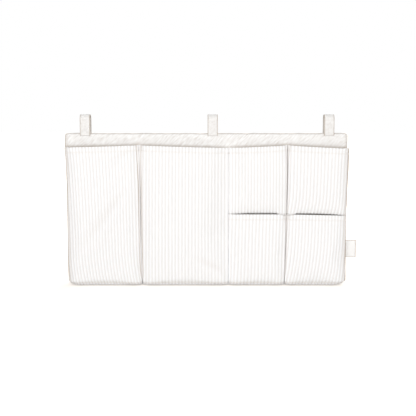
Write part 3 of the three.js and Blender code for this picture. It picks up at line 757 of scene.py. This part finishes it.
def ribbed_cloth():
    """Knitted ribs: pale ridges of slanted stitches; darker valleys, part the cloth's own tone and part painted
    shade.
    """
    material = finish_of("ribbed cloth", RIDGE_COLOR, 0.9, 0.3)
    across, down, painted_light = across_and_down(material)
    ridge = sums(material, "POWER", sums(material, "ABSOLUTE", wave(material, across, 2)), 2)
    slant = sums(material, "PINGPONG", sums(material, "MULTIPLY", across, 4), 0.5)
    course = scaled(material, down, 1 / 0.0013, sums(material, "MULTIPLY", slant, 1.4))
    stitch = wave(material, course, 1)
    fluff = noise(material, 0.0025, 5)
    height = scaled(material, stitch, 0.3, fluff)
    tone = scaled(material, stitch, 0.015, scaled(material, ridge, 1 - VALLEY_TONE, VALLEY_TONE))
    tone = scaled(material, fluff, 0.04, sums(material, "ADD", tone, -0.02))
    # painted shade from the marks darkens the colour
    tone = sums(material, "MULTIPLY", tone, painted_light)
    return finished(material, height, 0.00012, between(material, tone, VALLEY_AND_SHADE_COLOR, RIDGE_COLOR))


def thread():
    material = finish_of("sewing thread", (0.9, 0.875, 0.84), 0.6, 0.1)
    return finished(material, noise(material, 0.0004, 2), 0.00005)


def tube_faces(count, rings, sides=6):
    """Faces of closed tubes whose points are numbered by tube, by ring and round each ring."""
    faces = []
    for number in np.arange(count * rings * sides).reshape(count, rings, sides):
        faces += quads(np.concatenate([number, number[:, :1]], axis=1).T)
        faces += [number[0, ::-1].tolist(), number[-1].tolist()]
    return faces


def unit(directions):
    return directions / np.linalg.norm(directions, axis=-1, keepdims=True)


def stitched(name, line, out, body, length=0.0027, gap=0.0009, radius=0.00028):
    """A row of stitches along a line of points: short arched threads whose ends go down into the cloth."""
    at = lengths_along(line, 0)
    count = max(int(at[-1] // (length + gap)), 1)
    sides = np.linspace(0, 2 * math.pi, 7)[:-1, None]
    share = np.linspace(0, 1, 6)
    arch = np.sin(math.pi * share) ** 0.5
    rise = ((arch * 1.3 - 0.7) * radius)[:, None]
    thick = (radius * (0.55 + 0.45 * arch))[:, None, None]
    rings = []
    for number in range(count):
        places = (number + 0.5) * at[-1] / count + (share - 0.5) * length
        centre = along(line, places)
        normal = np.stack([np.interp(places, at, out[:, k]) for k in range(3)], axis=-1)
        aside = unit(np.cross(unit(np.gradient(centre, axis=0)), normal))
        circle = aside[:, None] * np.cos(sides) + normal[:, None] * np.sin(sides)
        rings.append((centre + normal * rise)[:, None] + thick * circle)
    piece = meshed(name, rings, tube_faces(count, len(share)))
    piece.data.materials.append(sewing_thread)
    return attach(piece, body)


def bell(value, middle, width):
    return np.exp(-(((value - middle) / width) ** 2))


def fold(grid, start, end, width, height):
    """A soft fold in a cloth along a line in the XZ plane: a ridge with a trough beside it."""
    (x0, z0), (x1, z1) = start, end
    long = math.hypot(x1 - x0, z1 - z0)
    x, z = grid[..., 0] - x0, grid[..., 2] - z0
    far = (x * (x1 - x0) + z * (z1 - z0)) / long / long
    aside = (x * (z1 - z0) - z * (x1 - x0)) / long / width
    fading = step(far, 0, 0.3) * (1 - step(far, 0.5, 1))
    return height * fading * (bell(aside, 0, 1) - 0.8 * bell(aside, 1.5, 1))


def pocket_faces(pocket):
    """A pocket's outer face with and without its ribs, its marks, and the distance down from the mouth."""
    rows = pocket_rows(pocket)
    middle = np.array([line[len(line) // 2] for line in (pocket_row(pocket, v) for v in rows)])
    fallen = middle[0, 2] - middle[:, 2]
    fars = np.minimum(fallen / fallen[-1] + np.maximum(rows - 2, 0) * 0.1, 1.1)
    shares, ribs = rib_columns(pocket, rows, fars)
    grid = pocket_surface(pocket, rows, shares)
    grid, shade = grid[..., :3], grid[..., 3]
    coarse_rows = np.linspace(0, rows[-1], 30)
    coarse = pocket_surface(pocket, coarse_rows, np.linspace(0, 1, 34))[..., :3]
    held = np.zeros(coarse.shape[:2], bool)
    held[:, :HELD_COLUMNS] = held[:, -HELD_COLUMNS:] = held[-1] = True
    if pocket["under"]:
        held[coarse_rows > 1.7] = True
    give = settled(coarse, held, pressure=1.2, most=0.0012, stretch=0.006)
    plain = grid + spread_over(give, rows / rows[-1], shares)
    creased = 0
    for line in pocket["folds"]:
        rise = fold(plain, *line)
        plain = plain + normals_of(plain) * rise[..., None]
        creased = creased + np.clip(-rise / line[-1], 0, 1)
    out = normals_of(plain)
    down = lengths_along(plain, 0)
    total = down[-1:]
    across = lengths_along(plain, 1)
    from_seam = np.minimum(across, across[:, -1:] - across)
    hem = bell(down, HEM, STITCH_DIP)
    end = down[np.argmin(np.abs(rows - FOOT_STITCHES))] if pocket["under"] else total - PATCH_STITCHES
    foot = bell(down, end, STITCH_DIP)
    pinch = np.maximum(hem, foot)
    depth = RIB_DEPTH * (1 - 0.55 * pinch) * grown(0.3, from_seam, 0, FLAT_EDGE)
    depth = depth * grown(0.4, down, 0, FLAT_MOUTH) * grown(0.35, total - down, 0, FLAT_EDGE)
    inward = depth * (1 - rib_profile(ribs)) + HEM_PINCH * pinch
    # painted shade: from the seam ways, in hem and foot stitch grooves, under the turned bottom and in fold troughs
    painted_light = (1 - shade) * (1 - HEM_SHADE * hem) * (1 - STITCH_SHADE * foot)
    painted_light = painted_light * (1 - UNDER_SHADE * step(-out[..., 2], *UNDER_BAND)) * (1 - FOLD_SHADE * creased)
    return plain - out * inward[..., None], plain, out, points_at(ribs, down, painted_light), down, rows


def lined_pocket(name, pocket):
    """The ribbed cloth with its rolled mouth and the hem turned in behind it, and its row of hem stitches."""
    face, plain, out, marks, down, rows = pocket_faces(pocket)
    up = unit(plain[0] - plain[2])
    half = HEM_THICK / 2
    turns = np.linspace(0, math.pi, 7)[1:-1]
    rim = np.array([plain[0] - out[0] * half * (1 - math.cos(t)) + up * half * math.sin(t) for t in turns])
    bumps = (RIB_DEPTH * 0.4 * (1 - rib_profile(marks[0, :, 0])))[:, None]
    rim = rim - up * bumps * np.sin(turns)[:, None, None] - out[0] * bumps * np.cos(turns)[:, None, None]
    behind = np.where(down < HEM_END, HEM_THICK, CLOTH)
    behind = behind + RIB_DEPTH * 0.3 * rib_profile(marks[..., 0]) * (down < HEM_END)
    cloth = shell(name + "_ribbed_cloth", face, plain - out * behind[..., None], marks, rim)
    sewn_in(cloth, "caddy", "ribbed_cloth", ribbed, name + "_cloth")
    row, inset = HEM_ROWS.index(HEM), slice(6, -6)
    hem_line = (plain[row] - out[row] * (HEM_PINCH + HEM_THREAD))[inset]
    stitched(name + "_hem_stitches", hem_line, out[row][inset], "caddy")
    return plain, out, rows


ribbed = ribbed_cloth()
sewing_thread = thread()
made_pockets = {name: lined_pocket(name, pocket) for name, pocket in POCKETS.items()}

# Pocket linings: plain cotton sewn in behind each ribbed cloth. Each starts under the turned-in hem and runs
# down to the seams, so that the ribs don't catch what goes in.
LINING_NEAR = 0.0015
LINING = 0.0008
LINING_START = HEM_ROWS.index(0.0088)


def lining_of(name):
    plain, out, _ = made_pockets[name]
    thin = slice(6, -6, 7)
    outer, inner = ((plain - out * behind)[LINING_START:, thin] for behind in (LINING_NEAR, LINING_NEAR + LINING))
    piece = shell(name + "_cotton_lining", outer, inner, marks_of(outer))
    sewn_in(piece, "caddy", "plain_cloth", cotton, name + "_lining")


for name in POCKETS:
    lining_of(name)

# Header: one strip of ecru twill folded over the top edge of the padded back. Its front leg goes down behind
# the pockets and its rear leg laps the rear cloth, where one row of stitches holds it.
TWILL_COLOR = (0.945, 0.94, 0.93)
TWILL_SHADE = (0.42, 0.34, 0.27)
FRONT_LEG = 0.04
HEADER_CORNER = 0.003
HEADER_PUFF = 0.0011
HEADER_DIMPLES = (0.052, 0.031, 0.019)
HEADER_OVER = 0.001
TWILL_LINE = 0.0016
TWILL_STREAK = 0.002
TWILL_STROKE = 0.016
END_LINE = 0.0034
END_LINE_WIDTH = 0.0007
END_BAND = (0.0004, 0.002)
FOLD_BAND = (0.6, 0.9)
MOUTH_BAND = (-0.001, 0.006)


def twill():
    """Brushed twill: close slanted lines in uneven strokes, which rise to the right on the front."""
    material = finish_of("ecru twill", TWILL_COLOR, 0.93, 0.3)
    across, down, painted_light = across_and_down(material)
    aside = sums(material, "ADD", across, down)
    onward = sums(material, "SUBTRACT", down, across)
    strokes = add(material, "CombineXYZ", sums(material, "MULTIPLY", aside, 1 / TWILL_STREAK),
                  sums(material, "MULTIPLY", onward, 1 / TWILL_STROKE))
    strokes = add(material, "TexNoise", strokes, None, 1, 2)
    line = wave(material, aside, TWILL_LINE)
    height = scaled(material, line, 0.1, strokes)
    tone = scaled(material, noise(material, 0.012, 3), 0.2, scaled(material, strokes, 1, 0.27))
    tone = add(material, "Clamp", scaled(material, line, 0.03, tone), 0.6, 1)
    # painted shade from the marks darkens the colour
    tone = sums(material, "MULTIPLY", tone, painted_light)
    return finished(material, height, 0.00015, between(material, tone, TWILL_SHADE, TWILL_COLOR))


def header_surface(columns, leg_rows, fold_rows):
    """The header's outer face, from the foot of its rear leg up over the fold and down the front."""
    def row(turn, end, share):
        from_side = placed_across(HALF_WIDTH, columns)[1]
        half = back_half(from_side)
        level = TOP - corner_cut(from_side, HEADER_CORNER) - half + half * math.sin(turn)
        level = level + (end - level) * share
        across = placed_across(outline_half(level.mean()) + HEADER_OVER, columns)[0]
        return points_at(across, BACK_MIDDLE - half * math.cos(turn), level)

    front = [row(0, TOP - FRONT_LEG, s) for s in np.linspace(1, 0, leg_rows + 1)[:-1]]
    over = [row(t, 0, 0) for t in np.linspace(0, math.pi, fold_rows)]
    rear = [row(math.pi, REAR_LEG_END, s) for s in np.linspace(0, 1, leg_rows + 1)[1:]]
    return np.array(front + over + rear)[::-1]


def mouths_at(x):
    """The height of the top pockets' mouths across the header."""
    which = np.searchsorted([line(MOUTH_LEVEL) for line in (seam_a, seam_b, seam_c)], x)
    names = ("left_pocket", "centre_pocket", "mid_upper_pocket", "right_upper_pocket")
    return sum(np.where(which == number, POCKETS[name]["mouth"](x), 0) for number, name in enumerate(names))


header_face = header_surface(columns=170, leg_rows=22, fold_rows=15)
coarse_header = header_surface(columns=40, leg_rows=5, fold_rows=7)
held = np.zeros(coarse_header.shape[:2], bool)
held[0] = held[-1] = held[:, :2] = held[:, -2:] = True
give = settled(coarse_header, held, pressure=2.0, most=0.0004, stretch=0.012)
header_out = normals_of(header_face)
x, z = header_face[..., 0], header_face[..., 2]
from_end = outline_half(z) + HEADER_OVER - np.abs(x)
full = step(from_end, 0, 0.012) * step(z - (TOP - FRONT_LEG), 0, 0.01)
puff = HEADER_PUFF * full * (0.7 + 0.4 * waves(x, z, HEADER_DIMPLES))
header_face = header_face + spread_over(give, *shares_of(header_face)) + header_out * puff[..., None]
# Painted shade: dark bands at the header's ends, a darker top fold and shade above the pocket mouths, full in
# front.
painted_shade_strength = 1 - 0.75 * step(header_face[..., 1], BACK_MIDDLE, BACK_MIDDLE + 0.001)
painted_light = 1 - 0.9 * painted_shade_strength * (1 - step(from_end, *END_BAND))
# a darker line beside the ends
painted_light = painted_light * (1 - 0.4 * painted_shade_strength * bell(from_end, END_LINE, END_LINE_WIDTH))
painted_light = painted_light * (1 - 0.5 * painted_shade_strength * step(header_out[..., 2], *FOLD_BAND))
over_mouths = grown(0.3, z - mouths_at(x), *MOUTH_BAND)
painted_light = np.where(header_face[..., 1] < BACK_MIDDLE, painted_light * over_mouths, painted_light)
header_inside = header_face - normals_of(header_face) * CLOTH
close_sides(header_face, header_inside, slice(None), TOP - HEADER_CORNER - EDGE_HALF)
header = shell("header_strip", header_face, header_inside, marks_of(header_face, painted_light),
               inner_marks=marks_of(header_face))
sewn_in(header, "caddy", "twill", twill(), "header_band")

# Straps: three lengths of woven tape. Each is sewn to the front of the header, stands up as a loop for the
# bed rail and comes down behind, where its free end opens and closes on a hook-and-loop patch.
PLACES = ("left", "centre", "right")
TAPE_COLOR = (0.975, 0.96, 0.94)
TAPE_SHADE = (0.5, 0.42, 0.34)
TAPE_CORNER = 0.002
ROOT_DROPS = (0.0012, 0.0026)
ROOT_INSET = 0.0015
ROOT_STITCH = {"length": 0.0016, "gap": 0.0006, "radius": 0.00024}
STITCH_INSET = 0.0012
TAPE_EDGE = (0.0003, 0.0014)


def tape():
    """Herringbone tape: slanted threads that turn at its middle, and painted shade darkening its edges."""
    material = finish_of("woven tape", TAPE_COLOR, 0.9, 0.2)
    across, down, painted_light = across_and_down(material)
    line = wave(material, scaled(material, sums(material, "PINGPONG", across, 0.0025), 1.2, down), 0.0011)
    fluff = noise(material, 0.003, 4)
    height = scaled(material, line, 0.5, fluff)
    tone = scaled(material, line, 0.08, scaled(material, fluff, 0.7, 0.6))
    # painted shade from the marks darkens the colour
    tone = sums(material, "MULTIPLY", tone, painted_light)
    return finished(material, height, 0.0002, between(material, tone, TAPE_SHADE, TAPE_COLOR))


def tape_route(riser, tail):
    """The tape's middle line in the YZ plane, from its foot on the header over the loop to its free end."""
    thick = tail[1].y - tail[0].y
    bend = (riser[1].y - riser[0].y) / 2
    middle = bend - thick / 2
    arch = riser[1].z - bend
    legs = [(-middle, z) for z in np.linspace(riser[0].z, arch, 26)]
    over = [(-middle * math.cos(t), arch + middle * math.sin(t)) for t in np.linspace(0, math.pi, 25)[1:-1]]
    back = [(middle, z) for z in np.linspace(arch, tail[0].z, 50)]
    return np.array(legs + over + back), thick


def sides_of(route):
    """Directions square to a line of points in a plane."""
    ahead = unit(np.gradient(route, axis=0))
    return np.stack([-ahead[:, 1], ahead[:, 0]], axis=-1)


def strap_tape(place):
    """One strap's tape, with two rows of stitches at its root and a ring of them round its patch."""
    end = "strap_%s_end" % place
    riser, tail, hooks = (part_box("strap_%s_%s" % (place, node)) for node in ("riser", "tail", "hook_patch"))
    route, thick = tape_route(riser, tail)
    middle_x, half = (riser[0].x + riser[1].x) / 2, (riser[1].x - riser[0].x) / 2
    at, side = lengths_along(route, 0), sides_of(route)
    shares = np.sin(np.linspace(-1, 1, 15) * math.pi / 2)
    x = middle_x + shares * (half - corner_cut(at[-1] - at, TAPE_CORNER)[:, None])
    lift = thick / 2 * (1 - 0.35 * np.abs(shares) ** 10)
    outer, inner = (points_at(x, route[:, :1] + side[:, :1] * face, route[:, 1:] + side[:, 1:] * face)[::-1]
                    for face in (lift, -lift))
    # painted shade along the tape's edges
    painted_light = grown(0.1, half - np.abs(outer[..., 0] - middle_x), *TAPE_EDGE)
    piece = shell("strap_%s_tape" % place, outer, inner, marks_of(outer, painted_light))
    piece.data.materials.append(woven_tape)
    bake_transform(piece)
    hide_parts("strap_%s_riser" % place, "strap_%s_tail" % place)
    across = middle_x + np.linspace(ROOT_INSET - half, half - ROOT_INSET, 12)
    for number, drop in enumerate(ROOT_DROPS):
        line = points_at(across, riser[0].y, TOP - drop)
        stitched("strap_%s_root_stitches_%d" % (place, number + 1), line, np.tile((0, -1.0, 0), (12, 1)), "caddy",
                 **ROOT_STITCH)
    x0, x1, z0, z1 = hooks[0].x, hooks[1].x, hooks[0].z, hooks[1].z
    x0, x1, z0, z1 = x0 + STITCH_INSET, x1 - STITCH_INSET, z0 + STITCH_INSET, z1 - STITCH_INSET
    corners = [(x0, z0), (x1, z0), (x1, z1), (x0, z1), (x0, z0)]
    line = np.concatenate([np.linspace(a, b, 12) for a, b in zip(corners[:-1], corners[1:])])
    line = points_at(line[:, 0], tail[1].y, line[:, 1])
    stitched("strap_%s_patch_stitches" % place, line, np.tile((0, 1.0, 0), (len(line), 1)), end)


woven_tape = tape()
for place in PLACES:
    strap_tape(place)

# Hook-and-loop patches: woven nylon tape. One carries rows of small hooks and is sewn inside the strap's free
# end; the other carries a soft nap of loops and is sewn to the header behind it.
PATCH_COLOR = (0.9, 0.89, 0.87)
PATCH_SHADE = (0.8, 0.785, 0.76)
PATCH_CORNER = 0.0015
HOOK_BASE = 0.45
HOOK_PITCH = 0.0014
HOOK_MARGINS = (0.0016, 0.0014)
HOOK_PROFILE = ((0, 0.000224), (0.6, 0.00016), (0.75, 0.0004), (1, 0.00016))
NAP = 0.00022
NAP_LOW = 0.0001
NAP_SINK = 0.0005
NAP_WAVES = (0.0023, 0.0016, 0.0034)
NAP_EDGE = (0.0004, 0.0018)


def nylon(name, size, depth):
    material = finish_of(name, PATCH_COLOR, 0.55, 0.1)
    nap = noise(material, size, 6)
    return finished(material, nap, depth, between(material, nap, PATCH_SHADE, PATCH_COLOR))


def patch_base(low, high, front, thick):
    """A patch's base tape, with rounded corners: front is its face that is sewn on."""
    x, z = np.meshgrid(np.linspace(low.x, high.x, 22), np.linspace(high.z, low.z, 40))
    middle, half = (low.x + high.x) / 2, (high.x - low.x) / 2
    x = middle + (x - middle) * (1 - corner_cut(np.minimum(high.z - z, z - low.z), PATCH_CORNER) / half)
    return points_at(x, front, z), points_at(x, front + thick, z)


def hook_patch(place):
    low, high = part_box("strap_%s_hook_patch" % place)
    base = (high.y - low.y) * HOOK_BASE
    seat = high.y - base
    tall = seat - low.y
    outer, inner = patch_base(low, high, seat, base)
    piece = shell("strap_%s_hooks" % place, outer, inner, marks_of(outer))
    points = [(x + wide * math.cos(turn), seat - tall * share, z + wide * math.sin(turn))
              for z in np.arange(low.z + HOOK_MARGINS[0], high.z - HOOK_MARGINS[1], HOOK_PITCH)
              for x in np.arange(low.x + HOOK_MARGINS[0], high.x - HOOK_MARGINS[1], HOOK_PITCH)
              for share, wide in HOOK_PROFILE for turn in np.arange(6) * math.pi / 3]
    rings = len(HOOK_PROFILE)
    rows = meshed("strap_%s_hook_rows" % place, points, tube_faces(len(points) // 6 // rings, rings), smooth=False)
    sewn_in(piece, "strap_%s_end" % place, "closure", hook_nylon, "strap_%s_hook_patch" % place)
    sewn_in(rows, "strap_%s_end" % place, "closure", hook_nylon)


def loop_patch(place):
    low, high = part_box("strap_%s_loop_patch" % place)
    outer, inner = patch_base(low, high, low.y, high.y - low.y)
    x, z = inner[..., 0], inner[..., 2]
    from_edge = np.minimum(np.minimum(x - low.x, high.x - x), np.minimum(z - low.z, high.z - z))
    nap = waves(x, z, NAP_WAVES) * NAP - NAP_SINK * (1 - step(from_edge, *NAP_EDGE))
    inner[..., 1] += nap - NAP_LOW
    piece = shell("strap_%s_loops" % place, outer, inner, marks_of(outer))
    sewn_in(piece, "caddy", "closure", loop_nylon, "strap_%s_loop_patch" % place)


hook_nylon = nylon("hook tape", 0.002, 0.0001)
loop_nylon = nylon("loop tape", 0.0007, 0.0005)
for place in PLACES:
    hook_patch(place)
    loop_patch(place)

# Label: a short piece of satin tape, folded double with its ends caught in the right side seam. It is bare, and
# painted shade darkens its edges.
LABEL_COLOR = (0.985, 0.975, 0.96)
LABEL_SHADE_COLOR = (0.42, 0.33, 0.25)
LABEL_LONGER = 0.0022
LABEL_THICK = 0.0005
LABEL_EDGE = (0.0003, 0.0011)


def label_tape():
    material = finish_of("label satin", LABEL_COLOR, 0.6, 0.1)
    _, down, painted_light = across_and_down(material)
    # the edges take the painted shade colour
    color = between(material, painted_light, LABEL_SHADE_COLOR, LABEL_COLOR)
    return finished(material, wave(material, down, 0.0006), 0.00006, color)


def side_label():
    """The label: its route goes out along its front half, round the fold and back."""
    low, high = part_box("side_label")
    high.x += LABEL_LONGER
    bend = (high.y - low.y) / 2
    radius = bend - LABEL_THICK / 2
    straight = high.x - bend
    route = [(x, -radius) for x in np.linspace(low.x, straight, 16)[:-1]]
    route += [(straight + radius * math.cos(t), radius * math.sin(t))
              for t in np.linspace(-math.pi / 2, math.pi / 2, 11)]
    route += [(x, radius) for x in np.linspace(straight, low.x, 16)[1:]]
    route = np.array(route)
    side, middle = sides_of(route), (high.y + low.y) / 2
    z = np.linspace(high.z, low.z, 24)[:, None]
    outer, inner = (points_at(route[:, 0] + side[:, 0] * lift, middle + route[:, 1] + side[:, 1] * lift, z)
                    for lift in (-LABEL_THICK / 2, LABEL_THICK / 2))
    from_edge = np.minimum(high.z - outer[..., 2], outer[..., 2] - low.z)
    from_edge = np.minimum(from_edge, high.x - outer[..., 0])
    # painted shade along the label's edges
    painted_light = grown(0.15, from_edge, *LABEL_EDGE)
    piece = shell("folded_label", outer, inner, marks_of(outer, painted_light))
    sewn_in(piece, "caddy", "label_tape", label_tape(), "side_label")


side_label()

# Last seams: cotton thread along the bottoms of the pockets, round the sides and bottom of the rear cloth and
# along the header's rear leg, sewn through all the layers there.
LEG_STITCH_ROW = 1
LEG_STITCH_INSET = slice(8, -8)
FOOT_STITCH_INSET = slice(10, -10)
FOOT_STITCH_DIP = 0.0006


def value_at(values, place):
    """The value at a place between two numbered ones."""
    low, share = int(place), place - int(place)
    return values[low] * (1 - share) + values[low + 1] * share


def edge_places():
    """Where the rear cloth's stitches go, by row and place across: down one side, along the bottom and up."""
    bottom, columns = len(rear_turns) - 1, np.arange(rear_face.shape[1])
    left, right = ([(k, np.interp(side * (outline_half(row[0, 2]) - EDGE_STITCH), row[:, 0], columns))
                    for k, row in enumerate(rear_face) if k > bottom] for side in (-1, 1))
    start = left[0][1]
    return left[::-1] + [(bottom, place) for place in np.arange(start, len(columns) - start)] + right


def bottom_stitches(name):
    plain, out, rows = made_pockets[name]
    if POCKETS[name]["under"]:
        at = np.interp(FOOT_STITCHES, rows, np.arange(len(rows)))
    else:
        at = len(rows) - len(FOOT_ROWS)
    normal = value_at(out, at)
    line = value_at(plain, at) - normal * FOOT_STITCH_DIP
    stitched(name + "_foot_stitches", line[FOOT_STITCH_INSET], normal[FOOT_STITCH_INSET], "caddy")


rear_out = normals_of(rear_face)
edge_line, edge_out = (np.array([value_at(grid[k], place) for k, place in edge_places()])
                       for grid in (rear_face, rear_out))
stitched("rear_edge_stitches", edge_line, edge_out, "caddy")
leg_line, leg_out = (grid[LEG_STITCH_ROW, LEG_STITCH_INSET] for grid in (header_face, normals_of(header_face)))
stitched("header_rear_stitches", leg_line, leg_out, "caddy")
for name in POCKETS:
    bottom_stitches(name)

# Floor, light and camera: a white floor and background, a broad soft light from the front and light all round.
# The camera looks from the front and a little from above, and takes in half as much again as the caddy's width.
FLOOR_HALF = 6.0
FLOOR_GAP = 0.0008
FLOOR_COLOR = (0.72, 0.7, 0.68)
GLOW_COLOR = (1, 0.95, 0.89)
GLOW_REACH = (0.3, 0.8)
GLOW_LEVELS = (0.55, 1.0)
SKY_LEVELS = (0.5, 1.0)
AIM_DEPTH = 0.012
CAMERA_DISTANCE = 1.2
CAMERA_RISE = math.radians(7.5)
SENSOR = 36
METRE_PER_PIXEL = 0.001492
PICTURE = 416
PANEL_CENTRE = (206.1, 209.7)


def seen_by_camera(owner):
    """1 where the camera sees a surface, straight or mirrored, and 0 where it only lights others."""
    rays = [add(owner, "LightPath", output=ray) for ray in ("Is Camera Ray", "Is Glossy Ray")]
    return sums(owner, "MAXIMUM", *rays)


def white_floor():
    """A glow that grows to white away from the caddy, for the camera alone, over a pale grey that takes shadows."""
    material = bpy.data.materials.new("floor")
    material.use_nodes = True
    tree = material.node_tree
    tree.nodes.clear()
    far = add(material, "VectorMath", add(material, "TexCoord", output=3), output=1, operation="LENGTH")
    level = add(material, "MapRange", far, *GLOW_REACH, *GLOW_LEVELS)
    strength = sums(material, "MULTIPLY", seen_by_camera(material), level)
    glow = add(material, "Emission", (*GLOW_COLOR, 1), strength)
    both = add(material, "AddShader", add(material, "BsdfDiffuse", (*FLOOR_COLOR, 1)), glow)
    tree.links.new(both, tree.nodes.new("ShaderNodeOutputMaterial").inputs["Surface"])
    return material


corners = [(x * FLOOR_HALF, y * FLOOR_HALF, 0) for x, y in ((-1, -1), (1, -1), (1, 1), (-1, 1))]
floor = meshed("floor", corners, [(0, 1, 2, 3)], smooth=False)
floor.data.materials.append(white_floor())
floor.location.z = BOTTOM - FLOOR_GAP

world = bpy.data.worlds.new("studio")
bpy.context.scene.world = world
world.use_nodes = True
background = world.node_tree.nodes["Background"]
background.inputs["Color"].default_value = (1, 1, 1, 1)
level = add(world, "MapRange", seen_by_camera(world), 0, 1, *SKY_LEVELS)
world.node_tree.links.new(level, background.inputs["Strength"])


def soft_lamp(name, place, target, size, power):
    data = bpy.data.lights.new(name, "AREA")
    data.size = size
    data.energy = power
    lamp = placed(name, data)
    lamp.location = place
    lamp.rotation_euler = (Vector(target) - Vector(place)).to_track_quat("-Z", "Y").to_euler()


middle_z = (TOP + BOTTOM) / 2
soft_lamp("front softbox", (-0.1, -1.8, 0.35), (0, 0, middle_z), size=1.4, power=24)
soft_lamp("rear softbox", (0.6, 1.6, 0.6), (0, 0, middle_z), size=1.2, power=20)

camera_data = bpy.data.cameras.new("camera")
camera_data.sensor_width = SENSOR
camera_data.lens = SENSOR / PICTURE * CAMERA_DISTANCE / METRE_PER_PIXEL
camera = placed("camera", camera_data)
aim = Vector(((PICTURE / 2 - PANEL_CENTRE[0]) * METRE_PER_PIXEL, BACK_FRONT - AIM_DEPTH,
                 middle_z + (PANEL_CENTRE[1] - PICTURE / 2) * METRE_PER_PIXEL))
back = Vector((0, -math.cos(CAMERA_RISE), math.sin(CAMERA_RISE)))
camera.location = aim + back * CAMERA_DISTANCE
camera.rotation_euler = (-back).to_track_quat("-Z", "Y").to_euler()
bpy.context.scene.camera = camera
bpy.context.scene.view_settings.view_transform = "Standard"
